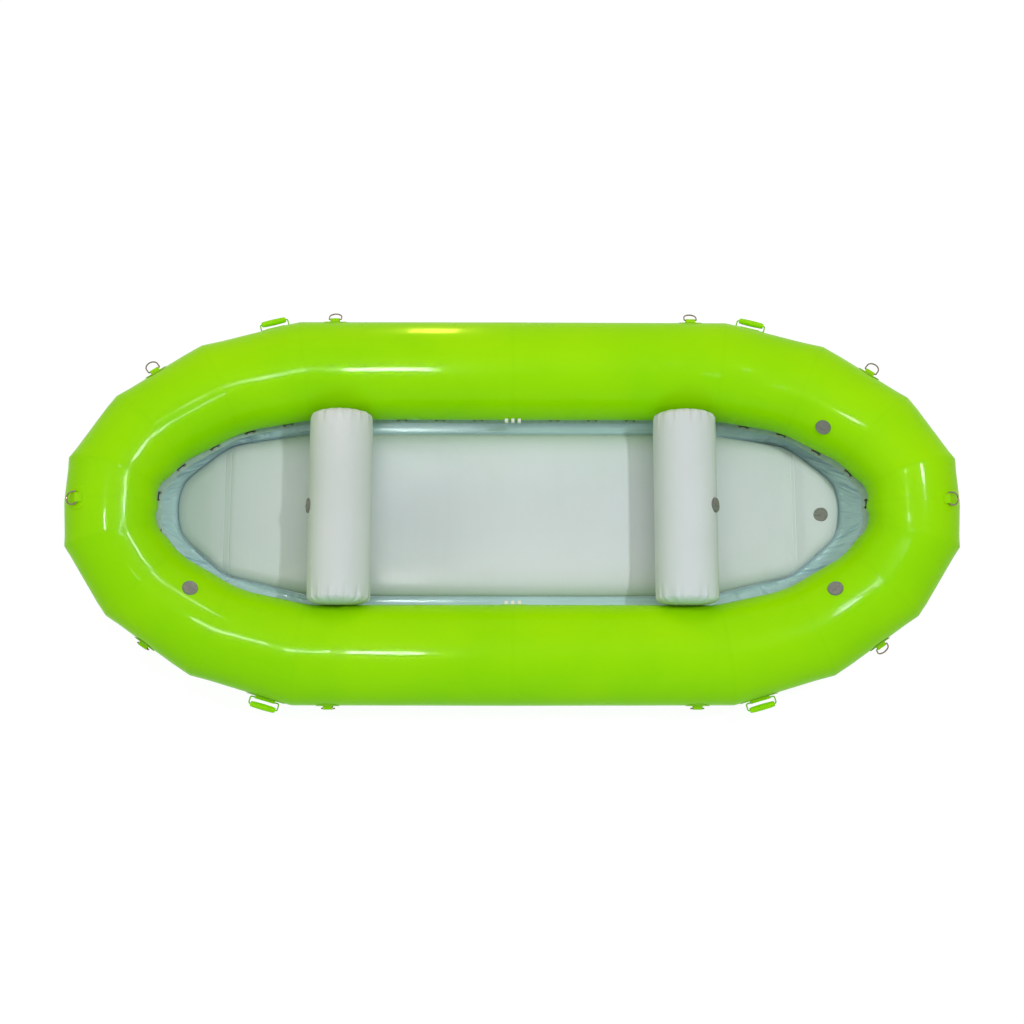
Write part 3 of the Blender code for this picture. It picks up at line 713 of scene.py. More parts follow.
floor = {
    "thickness": 0.10, "bottom": 0.010, "sideGap": 0.050, "endGap": 0.055, "straight": 1.00,
    "kickStart": 1.43, "kick": 15.0, "kickSoft": 0.045,
    "voxel": 0.011, "crown": 0.022, "aft": -0.018, "toPort": 0.010, "endsToPort": 0.016, "endsFrom": 0.9,
    "endsOver": 0.5,
    "crownSide": 0.16, "crownEnd": 0.20, "seamDip": 0.05, "ripple": 0.0012,
    "corners": ((1.0, 0.413), (1.10, 0.393), (1.19, 0.375), (1.28, 0.357), (1.345, 0.344), (1.40, 0.332),
                (1.45, 0.300), (1.50, 0.256), (1.555, 0.208), (1.60, 0.168), (1.634, 0.124), (1.650, 0.062),
                (1.654, 0.0)),
    "edge": ((0.0, 0.0), (0.25, 0.0), (0.5, 0.06), (0.7, 0.2), (0.84, 0.4), (0.93, 0.62), (0.985, 0.84),
             (1.0, 1.05)),
}
floorHalfLength = hull["length"] / 2 - 2 * hull["endRadius"] - floor["endGap"]
floorHalfWidth = hull["width"] / 2 - 2 * hull["radius"] - floor["sideGap"]
floorMiddle = floor["bottom"] + floor["thickness"] / 2


def kick(x):
    past, soft = abs(x) - floor["kickStart"], floor["kickSoft"]
    rise = max(0.0, past + soft) ** 2 / (4 * soft) if past < soft else past
    return rise * tan(radians(floor["kick"]))


def outlineAt(share):
    # share runs from -1 at the middle of the side, over 0 where the slant starts, to 1 at the nose.
    if share <= 0:
        return Vector((floor["straight"] * (1 + share), floorHalfWidth))
    spots = floor["corners"]
    k = min(int(share * (len(spots) - 1)), len(spots) - 2)
    t = share * (len(spots) - 1) - k
    (x1, y1), (x2, y2) = spots[k], spots[k + 1]
    return Vector((x1 + (x2 - x1) * t, y1 + (y2 - y1) * t))


def floorEdge(share, inset, z):
    share = min(share, 1.0)
    ahead, behind = outlineAt(min(share + 0.04, 1.0)), outlineAt(max(share - 0.04, -1.0))
    way = Vector((1, 0)) if share <= -0.999 else (ahead - behind).normalized()
    if share >= 0.999:
        way = Vector((0, -1))
    outward = Vector((-way.y, way.x))
    spot = (outlineAt(share) * 2 + ahead + behind) / 4 - outward * inset
    return Vector((spot.x, max(spot.y, 0.0), z))


def laidIn(point):
    # The floor lies a little towards the stern and, at its ends, towards the port side.
    ends = min(1.0, max(0.0, (abs(point.x) - floor["endsFrom"]) / floor["endsOver"]))
    return point + Vector((floor["aft"], floor["toPort"] + floor["endsToPort"] * ends * ends * (3 - 2 * ends), 0))


def makeFloor():
    quarter = [-1 + k / 40 for k in range(40)] + [k / 60 for k in range(61)]
    loops = []
    half = floor["thickness"] / 2
    for height, drawn in floor["edge"]:
        loops.append(allRound([floorEdge(s, half * drawn, half * height) for s in quarter]))
    count = len(loops[0])
    letGo()
    bpy.ops.mesh.primitive_circle_add(vertices=count, radius=1.0, location=(0, 0, 0))
    piece = newest("floorSlab")
    openMesh(piece)
    rows = [[Vector((p.x, p.y, -p.z)) for p in loop] for loop in reversed(loops[1:])] + loops
    for _ in rows[1:]:
        selectRing(piece, -count)
        bpy.ops.mesh.extrude_region_move(TRANSFORM_OT_translate={"value": (0, 0, 0.01)})
    mesh = bmesh.from_edit_mesh(piece.data)
    mesh.verts.ensure_lookup_table()
    for k, row in enumerate(rows):
        for v, p in zip(mesh.verts[k * count:(k + 1) * count], row):
            v.co = p + up * floorMiddle
    for k in (0, len(rows) - 1):
        mesh.faces.new(mesh.verts[k * count:(k + 1) * count])
    bmesh.update_edit_mesh(piece.data)
    closeMesh(outwards=True)
    addStep(piece, "REMESH", mode="VOXEL", voxel_size=floor["voxel"])
    addStep(piece, "SMOOTH", factor=0.5, iterations=4)
    for v in piece.data.vertices:
        x, y = abs(v.co.x), abs(v.co.y)
        inner = min(1.0, max(0.0, (floorHalfWidth - y) / floor["crownSide"]))
        room = min(1.0, max(0.0, (floorHalfLength - x) / floor["crownEnd"]))
        seam = min(1.0, abs(x - floor["kickStart"]) / floor["seamDip"])
        puff = floor["crown"] * sin(pi / 2 * inner) * sin(pi / 2 * room) * (0.55 + 0.45 * seam)
        ripple = floor["ripple"] * noise.noise(Vector((v.co.x * 3.1, v.co.y * 3.1, 4.0)))
        top = (v.co.z - floorMiddle) / (floor["thickness"] / 2)
        v.co.z += (puff + ripple - floor["crown"] * 0.7) * max(0.0, top)
        v.co.z += kick(v.co.x)
        v.co = laidIn(v.co)
    pick(piece)
    bpy.ops.object.shade_smooth()
    return piece


dress(makeFloor(), paint["floor"], stands=("floor",))
print("floor made")


# Lace strip on the tubes, flap round the floor

lacing = {
    "gap": 0.0003, "stripThickness": 0.002, "stripWidth": 0.037, "stripDrop": 0.004,
    "flapThickness": 0.0015, "tuck": 0.006, "flapGap": 0.0011, "sag": 0.008, "rim": 0.014,
    "cordRadius": 0.003, "cordIn": 0.0195, "cordOver": 0.0052, "cordUnder": -0.0072,
    "period": 0.195, "over": 0.039, "stripAcross": 0.101, "flapAcross": 0.11,
    "folds": 0.012, "smallFolds": 0.008, "bag": 0.014, "tautBag": 0.003, "eyeletSteps": (0, 6),
    "eyelet": ((0.0, -0.0012), (0.0052, -0.0010), (0.0056, 0.0012), (0.0072, 0.0016), (0.0092, 0.0011), (0.0096, 0.0)),
}
panelShares = ((1 / 3, 2 / 3, 1), (1 / 3, 2 / 3, 1), (1 / 2, 1), (1 / 3, 2 / 3, 1))


def foldPoint(station):
    # The strip's fold on the tube at a station of the quarter, and the way straight inboard.
    ring = facets[station]
    radius = radii[station]
    inboard = (ring[11] + ring[12] - ring[-1] - ring[0]) / (4 * radius)
    middle = centres[station]
    grow = (radius + hull["proud"] + 0.0012) / radius * cos(pi / hull["sides"])
    return middle + (ring[14] - middle) * grow, middle + (ring[15] - middle) * grow, inboard


foldQuarter = [foldPoint(i) for i in range(6)]


def foldAt(share):
    # share as for the floor's edge. Returns fold, foot and inboard.
    if share < 0:
        station, t = 0, 1 + share
    else:
        anchors = [(1, 0.0)] + [(panel, f) for panel, fs in enumerate(panelShares, 1) for f in fs]
        spot = min(share, 1.0) * (len(anchors) - 1)
        k = min(int(spot), len(anchors) - 2)
        (pa, fa), (pb, fb) = anchors[k], anchors[k + 1]
        start = fa if pa == pb else 0.0
        station, t = pb, start + (fb - start) * (spot - k)
    near, far = foldQuarter[station], foldQuarter[station + 1]
    fold, foot, inboard = [a.lerp(b, t) for a, b in zip(near, far)]
    middle = centres[station].lerp(centres[station + 1], t)
    run = (far[0] - near[0]).length
    fill = drawnIn(station, t * run) + drawnIn(station + 1, (1 - t) * run)
    outboard = up.cross(centres[station + 1] - centres[station]).normalized()
    moved = []
    for spot in (fold, foot):
        radial = (spot - middle).normalized()
        moved.append(spot + radial * (fill * max(0.0, -radial.dot(outboard))))
    return moved[0], moved[1], inboard


def roundShare(u):
    # Goes once round the boat from the port side: returns the share and the signs of the quarter.
    u = (u % 1.0) * 4
    q = int(u)
    t = (u - q) * 2 - 1
    if q in (1, 3):
        t = -t
    return t, ((1, 1), (1, -1), (-1, -1), (-1, 1))[q]


def boatPoint(u, maker):
    share, (sx, sy) = roundShare(u)
    return mirrored(maker(share), sx, sy)


def onStrip(share, distance, height):
    fold, foot, inboard = foldAt(share)
    return fold + inboard * distance + up * (height - lacing["stripDrop"] * distance / lacing["stripWidth"])


def makeStrip():
    def place(u, v):
        def at(share):
            if v < 0.3:
                fold, foot, inboard = foldAt(share)
                return foot.lerp(fold, v / 0.3)
            return onStrip(share, lacing["stripWidth"] * (v - 0.3) / 0.7, 0.0)
        return boatPoint(u, at)
    piece = bentGrid("laceStrip", 480, 6, place, closed=True)
    thicken(piece, lacing["stripThickness"], 0.0)
    return piece


def makeFlap():
    drop = lacing["stripThickness"] / 2 + lacing["gap"] + lacing["flapThickness"]

    def place(u, v):
        share, (sx, sy) = roundShare(u)
        inner = floorEdge(share, -lacing["flapGap"], floorMiddle)
        inner.z += kick(inner.x)
        inner = laidIn(mirrored(inner, sx, sy))
        outer = mirrored(onStrip(share, lacing["tuck"], -drop), sx, sy)
        point = inner.lerp(outer, v)
        loose = min(1.0, max(0.0, share + 0.1) * 2.5)
        width = min(1.0, (outer - inner).length / 0.12)
        run = u * 90.0
        folds = 1 - abs(noise.noise(Vector((run * 1.2 + v * 0.9, v * 0.7, 3.0)))) * 3.2
        small = 1 - abs(noise.noise(Vector((run * 3.3 - v * 0.8, v * 0.9, 9.0)))) * 3.2
        bag = noise.noise(Vector((run * 0.35, v * 1.5, 20.0)))
        held = sin(pi * v) ** 0.7
        rim = max(0.0, 1 - abs(v - 0.14) / 0.14)
        point.z += rim * rim * (3 - 2 * rim) * lacing["rim"] * (0.4 + 0.6 * loose)
        point.z -= held * lacing["sag"] * (0.3 + 0.7 * loose)
        point.z += held * width * loose * (lacing["folds"] * folds + lacing["smallFolds"] * small + lacing["bag"] * bag)
        point.z += held * width * (1 - loose) * lacing["tautBag"] * bag
        return point
    piece = bentGrid("floorFlap", 1200, 14, place, closed=True)
    thicken(piece, lacing["flapThickness"], 0.0, angle=60, even=False)
    return piece


def sheetFacts(piece, width):
    # The length follows from half of the whole surface and the width that is given.
    area = sum(f.area for f in piece.data.polygons) / 2
    return (width, area / width), area


strip = dress(makeStrip(), paint["lace"], stands=("lace_strip",))
flap = dress(makeFlap(), paint["flap"], stands=("floor_flap",))
stripFlat, stripArea = sheetFacts(strip, lacing["stripAcross"])
flapFlat, flapArea = sheetFacts(flap, lacing["flapAcross"])
print("strip", stripFlat, "flap", flapFlat)


# Lacing cord and eyelets

def walkRound(spacing):
    # Even steps along the line of the lacing: returns the values of u.
    fine = 4000
    line = [boatPoint(k / fine, lambda s: onStrip(s, lacing["cordIn"], 0.0)) for k in range(fine + 1)]
    gone = [0.0]
    for a, b in zip(line, line[1:]):
        gone.append(gone[-1] + (b - a).length)
    count = round(gone[-1] / spacing / stitchSteps) * stitchSteps
    found, k = [], 0
    for i in range(count):
        aim = gone[-1] * i / count
        while gone[k + 1] < aim:
            k += 1
        found.append((k + (aim - gone[k]) / (gone[k + 1] - gone[k])) / fine)
    return found


stitchSteps = 30
cordSteps = walkRound(lacing["period"] / stitchSteps)


def makeCord():
    path = []
    for i, u in enumerate(cordSteps):
        phase = (i % stitchSteps) / stitchSteps
        over = lacing["over"] / lacing["period"]
        swing = 0.5 + 0.5 * cos(2 * pi * (phase - over / 2))
        rise = min(1.0, max(0.0, (swing - 0.80) / 0.14))
        height = lacing["cordUnder"] + (lacing["cordOver"] - lacing["cordUnder"]) * rise
        path.append(boatPoint(u, lambda s: onStrip(s, lacing["cordIn"], height)))
    return sweptPiece("lacingCord", path, lacing["cordRadius"], sides=8)


def makeEyelets():
    model = turnedPiece("eyeletModel", lacing["eyelet"], 12)
    pieces = []
    places = [i for i in range(len(cordSteps)) if i % stitchSteps in lacing["eyeletSteps"]]
    for i in places:
        u = cordSteps[i]
        spot = boatPoint(u, lambda s: onStrip(s, lacing["cordIn"], lacing["stripThickness"] / 2 - 0.0002))
        ahead = boatPoint(u + 0.0005, lambda s: onStrip(s, lacing["cordIn"], 0.0))
        edge = boatPoint(u, lambda s: onStrip(s, lacing["cordIn"] + 0.01, lacing["stripThickness"] / 2))
        along = (ahead - spot).normalized()
        across = (edge - spot).normalized()
        above = along.cross(across)
        if above.z < 0:
            above = -above
        across = above.cross(along)
        place = Matrix((along, across, above)).transposed().to_4x4()
        place.translation = spot
        pieces.append(twin(model, "eyelet", place))
    discard(model)
    return join("laceEyelets", pieces)


dress(makeCord(), paint["cord"], stands=("lacing_cord",))
dress(makeEyelets(), paint["brass"], slot="lace_strip")
print("lacing made:", len(cordSteps) // stitchSteps, "stitches")


# Thwarts

thwart = {
    "radius": 0.1525, "reach": 0.474, "around": 192,
    "dome": 0.034, "clear": 0.0010, "pucker": 0.0058, "puckers": 17, "puckerDepth": 0.060,
}


def makeThwart(name, x):
    profile = [(0.0, thwart["reach"])]
    for k in range(1, 15):
        angle = pi / 2 * k / 14
        profile.append((thwart["radius"] * sin(angle) ** 0.60, thwart["reach"] - thwart["dome"] * (1 - cos(angle))))
    edge = thwart["reach"] - thwart["dome"]
    profile += [(thwart["radius"], edge - d) for d in (0.006, 0.014, 0.024, 0.038, 0.056, 0.08, 0.12, 0.18, 0.26, 0.35)]
    profile += [(r, -y) for r, y in reversed(profile)]
    piece = turnedPiece(name, profile, thwart["around"], angle=80)
    piece.data.transform(Matrix.Rotation(pi / 2, 4, "X"))
    for v in piece.data.vertices:
        radial = Vector((v.co.x, 0, v.co.z))
        r = radial.length
        if r > 0.01:
            angle = Vector((v.co.x, v.co.z)).angle_signed(Vector((1, 0)))
            side = 1 if v.co.y > 0 else -1
            near = max(0.0, 1 - abs(abs(v.co.y) - edge) / thwart["puckerDepth"])
            rim = min(1.0, max(0.0, (r / thwart["radius"] - 0.5) / 0.5))
            around = Vector((cos(angle), sin(angle), 0))
            drift = side * 1.3 + 1.6 * noise.noise(around * 3.0 + Vector((0, 0, x)))
            lump = 0.5 + 0.5 * cos(angle * thwart["puckers"] + drift)
            lump *= 0.55 + 0.45 * noise.noise(around * 4.4 + Vector((0, 0, side * 3.3 + x)))
            crease = abs(noise.noise(around * 11.0 + Vector((0, 0, side * 5.1 + x))))
            dent = (1.5 * lump + 0.9 * crease) * thwart["pucker"]
            v.co -= radial.normalized() * (dent * 1.1 * near * rim)
            v.co.y -= side * dent * 1.6 * near * rim
        v.co += Vector((x, 0, thwartHeight))
        tube = hull["radius"] + hull["proud"] + thwart["clear"]
        lift = v.co.z - hull["radius"]
        if abs(lift) < tube:
            face = hull["width"] / 2 - hull["radius"] - sqrt(tube ** 2 - lift ** 2)
            if abs(v.co.y) > face:
                v.co.y = face if v.co.y > 0 else -face
    return piece


for end, sign in (("bow", 1), ("stern", -1)):
    piece = makeThwart("thwart" + end.capitalize(), sign * thwartSpacing / 2)
    dress(piece, paint["thwart" + end.capitalize()], stands=("thwart_" + end,))
print("thwarts made")


# D-rings on webbing tabs and round patches

ring = {
    "patchRadius": 0.0575, "patchThickness": 0.0016, "tabWidth": 0.045, "tabFoot": 0.030, "webbing": 0.0022,
    "wire": 0.0036, "play": 0.0004, "halfWidth": 0.030, "leg": 0.026, "hinge": 0.013, "corner": 0.007,
    "sideX": 0.89, "quarterRun": 0.215,
}
sideShare = ring["sideX"] / (centres[1].x + hull["radius"] * tan(radians(hull["panelHeadings"][0] / 2)))
quarterShare = ring["quarterRun"] / hull["panelLengths"][1]
ringPlaces = (
    ("bow", "bow_port", 4, 1.0, 60, -90), ("stern", "stern_starboard", 4, 1.0, 60, -90),
    ("side_bow_port", "bow_port", 0, sideShare, 15, -60),
    ("side_stern_port", "stern_port", 0, sideShare, 15, -60),
    ("side_bow_starboard", "bow_starboard", 0, sideShare, 0, -90),
    ("side_stern_starboard", "stern_starboard", 0, sideShare, 0, -90),
    ("quarter_bow_port", "bow_port", 2, quarterShare, 15, -40),
    ("quarter_stern_port", "stern_port", 2, quarterShare, 15, -40),
    ("quarter_bow_starboard", "bow_starboard", 2, quarterShare, 0, -55),
    ("quarter_stern_starboard", "stern_starboard", 2, quarterShare, 0, -90))


def panelRadius(panel, share):
    return radii[panel] + (radii[panel + 1] - radii[panel]) * share


def wrapOver(piece, radius):
    # Bends a flat piece over the tube: what lies off the line along the tube drops with its curve.
    tube = radius + hull["proud"]
    for v in piece.data.vertices:
        v.co.z += sqrt(tube ** 2 - v.co.y ** 2) - radius


feather, cutEvery = 0.0022, 0.008


def flatPatch(name, length, width, corner, thickness):
    # A thin sheet with feathered edges, as wide as it is long or longer than wide.
    letGo()
    bpy.ops.mesh.primitive_plane_add(size=1.0, location=(0, 0, 0))
    piece = newest(name)
    piece.data.transform(Matrix.Diagonal((length, width, 1.0, 1.0)))
    openMesh(piece)
    bpy.ops.mesh.select_all(action="SELECT")
    bpy.ops.mesh.bevel(offset=corner, segments=12, affect="VERTICES")
    bpy.ops.mesh.select_all(action="SELECT")
    for lift, inwards in ((0.5, 0.3), (0.35, 1.2), (0.1, 2.0), (0.05, 6.0)):
        bpy.ops.mesh.extrude_region_move(TRANSFORM_OT_translate={"value": (0, 0, thickness * lift)})
        bpy.ops.transform.resize(value=(1 - feather / length * inwards * 2, 1 - feather / width * inwards * 2, 1),
                                 center_override=(0, 0, 0))
    closeMesh(merge=0.00002)
    cuts = int(width / cutEvery)
    openMesh(piece)
    for k in range(1, cuts):
        bpy.ops.mesh.select_all(action="SELECT")
        bpy.ops.mesh.bisect(plane_co=(0, -width / 2 + width * k / cuts, 0), plane_no=(0, 1, 0))
    closeMesh(outwards=True)
    return piece


def tabProfile(hinge, hole, foot, thickness, rise):
    # Side view of webbing folded round a bar: down one side, over and down the other.
    middle = hole + thickness / 2
    points = [(foot, rise), (foot * 0.8, rise)]
    start = middle * 1.05
    for k in range(1, 5):
        t = k / 5
        points.append((foot * 0.8 + (start - foot * 0.8) * t, rise + (hinge - rise) * t ** 2.2))
    for k in range(0, 9):
        a = pi * k / 8
        points.append((middle * cos(a), hinge + middle * sin(a)))
    left = [(-y, z) for y, z in reversed(points[:6])]
    return points + left


def webbingTab(name, profile, width, thickness):
    # Webbing along the profile, with UV in metres: u across it and v along it.
    lengths = [0.0]
    for (ya, za), (yb, zb) in zip(profile, profile[1:]):
        lengths.append(lengths[-1] + sqrt((yb - ya) ** 2 + (zb - za) ** 2))
    rows = len(profile) - 1
    piece = bentGrid(name, 8, rows, lambda u, v: Vector((width * (u - 0.5), *profile[round(v * rows)])))
    for loop in piece.data.uv_layers[0].data:
        loop.uv = (loop.uv[0] * width, lengths[round(loop.uv[1] * rows)])
    addStep(piece, "SOLIDIFY", thickness=thickness, offset=0.0, use_even_offset=True)
    openMesh(piece)
    closeMesh(outwards=True)
    addStep(piece, "BEVEL", width=0.0005, segments=2, limit_method="ANGLE", angle_limit=radians(50))
    smoothOver(piece, 45)
    return piece


def roundedPath(corners, radius, steps=5):
    # Rounds the corners of a closed path.
    path = []
    for i, here in enumerate(corners):
        before, after = corners[i - 1], corners[(i + 1) % len(corners)]
        start = here + (before - here).normalized() * radius
        finish = here + (after - here).normalized() * radius
        for k in range(steps + 1):
            t = k / steps
            path.append(start.lerp(here, t).lerp(here.lerp(finish, t), t))
    return path


def ringPath():
    w, leg, c = ring["halfWidth"], ring["leg"], ring["corner"]
    path = []
    for x in (-1, 1):
        here = Vector((w * x, 0, 0))
        start = here + (Vector((-x, 0, 0)) if x > 0 else Vector((0, 0, 1))) * c
        finish = here + (Vector((0, 0, 1)) if x > 0 else Vector((-x, 0, 0))) * c
        for k in range(6):
            t = k / 5
            path.append(start.lerp(here, t).lerp(here.lerp(finish, t), t))
    path += [Vector((w * cos(a), 0, leg + w * sin(a))) for a in [pi * k / 24 for k in range(25)]]
    return path


def seatWebbing(patchModel, tabModel, spot, radius, hinge, names, node):
    # Lays a patch on the tube at the spot, and webbing on it whose feet follow the tube.
    patch = twin(patchModel, names[0])
    wrapOver(patch, radius)
    patch.data.transform(spot)
    smoothOver(patch, 30)
    dress(patch, paint["patch"], stands=(node,))
    tab = twin(tabModel, names[1])
    tube = radius + hull["proud"]
    for v in tab.data.vertices:
        low = max(0.0, 1 - v.co.z / hinge)
        v.co.z += (sqrt(tube ** 2 - v.co.y ** 2) - radius) * low
    tab.data.transform(spot)
    dress(tab, paint["tab"], slot=node)


def makeRings():
    patchModel = flatPatch("patchModel", 2 * ring["patchRadius"], 2 * ring["patchRadius"],
                           ring["patchRadius"] * 0.999, ring["patchThickness"])
    profile = tabProfile(ring["hinge"], ring["wire"] + ring["play"], ring["tabFoot"], ring["webbing"],
                         ring["patchThickness"] + ring["webbing"] / 2 + ring["play"])
    tabModel = webbingTab("tabModel", profile, ring["tabWidth"], ring["webbing"])
    wireModel = sweptPiece("wireModel", ringPath(), ring["wire"], sides=12)
    for place, quarter, panel, share, clock, rest in ringPlaces:
        spot = facetFrame(quarter, panel, share, clock)
        seatWebbing(patchModel, tabModel, spot, panelRadius(panel, share), ring["hinge"],
                    ("ringPatch" + camel(place), "ringTab" + camel(place)), "dring_patch_" + place)
        swing = spot @ Matrix.Translation((0, 0, ring["hinge"])) @ Matrix.Rotation(radians(rest), 4, "X")
        dress(twin(wireModel, "ringWire" + camel(place), swing), paint["steel"], body="dring_" + place,
              stands=("dring_" + place,))
    discard(patchModel, tabModel, wireModel)


makeRings()
print("D-rings made")


# Carry handles: a rope loop through a webbing tunnel, with a tube grip on its outer run

handle = {
    "run": 0.110, "play": 0.0004, "halfLength": 0.070, "standoff": 0.036, "corner": 0.009,
    "hinge": 0.0095, "rope": 0.0035, "droop": -15.0, "gripRadius": 0.0155, "gripLength": 0.124,
    "patch": (0.19, 0.062), "patchCorner": 0.02,
    "patchThickness": 0.0016, "tunnel": 0.096, "tunnelFoot": 0.024, "webbing": 0.0022,
}


def makeHandles():
    patchModel = flatPatch("patchModel", *handle["patch"], handle["patchCorner"], handle["patchThickness"])
    profile = tabProfile(handle["hinge"], handle["rope"] + handle["play"], handle["tunnelFoot"], handle["webbing"],
                         handle["patchThickness"] + handle["webbing"] / 2 + handle["play"])
    tunnelModel = webbingTab("tunnelModel", profile, handle["tunnel"], handle["webbing"])
    x, z = handle["halfLength"], handle["standoff"]
    corners = [Vector((-x, 0, 0)), Vector((x, 0, 0)), Vector((x, 0, z)), Vector((-x, 0, z))]
    ropeModel = sweptPiece("ropeModel", roundedPath(corners, handle["corner"], 6), handle["rope"], sides=10)
    half, r = handle["gripLength"] / 2, handle["gripRadius"]
    bore = handle["rope"] + 0.0002
    profile = [(bore, half - 0.004), (bore + 0.002, half - 0.0005)]
    profile += [(r - 0.0045 * (1 - t) ** 2 - 0.0008, half - 0.0005 - 0.030 * t ** 1.6)
                for t in [k / 8 for k in range(9)]]
    profile += [(r - 0.0003, half - 0.042), (r, 0.0)]
    profile += [(a, -b) for a, b in reversed(profile[:-1])]
    gripModel = turnedPiece("gripModel", profile, 32)
    gripModel.data.transform(Matrix.Translation((0, 0, z)) @ Matrix.Rotation(pi / 2, 4, "Y"))
    share = handle["run"] / hull["panelLengths"][0]
    for quarter in ("bow_port", "bow_starboard", "stern_port", "stern_starboard"):
        spot = facetFrame(quarter, 1, share, 0)
        seatWebbing(patchModel, tunnelModel, spot, panelRadius(1, share), handle["hinge"],
                    ("handlePatch" + camel(quarter), "handleTunnel" + camel(quarter)), "handle_patch_" + quarter)
        swing = spot @ Matrix.Translation((0, 0, handle["hinge"]))
        swing = swing @ Matrix.Rotation(radians(handle["droop"]), 4, "X")
        body = "handle_" + quarter
        dress(twin(ropeModel, "handleRope" + camel(quarter), swing), paint["rope"], body=body, stands=(body,))
        dress(twin(gripModel, "handleGrip" + camel(quarter), swing), paint["grip"], body=body, slot=body)
    discard(patchModel, tunnelModel, ropeModel, gripModel)


makeHandles()
print("handles made")


# Loop strips on the inner sides of the tubes

loops = {"plate": (0.125, 0.058, 0.0016), "pitch": 0.032, "width": 0.016, "height": 0.042, "stand": 0.020,
         "webbing": 0.0032, "corner": 0.009, "plateCorner": 0.006}


def makeLoopStrips():
    w, h, c = loops["height"] / 2 - loops["webbing"] / 2, loops["stand"] - loops["webbing"] / 2, loops["corner"]
    base = loops["plate"][2] + loops["webbing"] / 2
    outline = [(w + 0.0005, base)] + [(w, base + (h - c - base) * k / 3) for k in range(1, 4)]
    outline += [(w - c + c * cos(a), h - c + c * sin(a)) for a in [pi / 2 * k / 5 for k in range(1, 6)]]
    outline += [(-y, z) for y, z in reversed(outline)]
    loopModel = webbingTab("loopModel", outline, loops["width"], loops["webbing"])
    plateModel = flatPatch("plateModel", *loops["plate"][:2], loops["plateCorner"], loops["plate"][2])
    for side, quarter in (("port", "bow_port"), ("starboard", "stern_starboard")):
        spot = facetFrame(quarter, 0, 0.0, 180)
        plate = twin(plateModel, "loopPlate" + side.capitalize())
        wrapOver(plate, hull["radius"])
        plate.data.transform(spot)
        smoothOver(plate, 30)
        dress(plate, paint["patch"], slot="loop_strip_" + side)
        made = []
        for k in (-1, 0, 1):
            one = twin(loopModel, "loop", Matrix.Translation((k * loops["pitch"], 0, 0)))
            wrapOver(one, hull["radius"])
            one.data.transform(spot)
            made.append(one)
        dress(join("webbingLoops" + side.capitalize(), made), paint["loop"], stands=("loop_strip_" + side,))
    discard(loopModel, plateModel)


makeLoopStrips()
print("loop strips made")


# Inflation valves

valve = {
    "flange": 0.037, "neck": 0.026, "lip": 0.004, "recess": 0.0235, "seat": -0.010, "seatThickness": 0.004,
    "bore": 0.014, "spider": (0.032, 0.007, 0.003), "gap": 0.0003, "skirt": -0.012,
    "capRadius": 0.034, "capThickness": 0.005, "ribs": 24, "ribDepth": 0.022,
    "spigot": (0.0227, 0.0190, 0.005), "grip": (0.046, 0.010, 0.004), "run": 0.187, "floorX": 1.54,
    "clocks": {"bow_port": 135, "bow_starboard": 120, "stern": 120},
}


def flatUv(piece):
    # The piece's own UV map, straight down on it, in metres.
    layer = piece.data.uv_layers[0] if piece.data.uv_layers else piece.data.uv_layers.new(name="UVMap")
    for loop in piece.data.loops:
        point = piece.data.vertices[loop.vertex_index].co
        layer.data[loop.index].uv = (point.x, point.y)


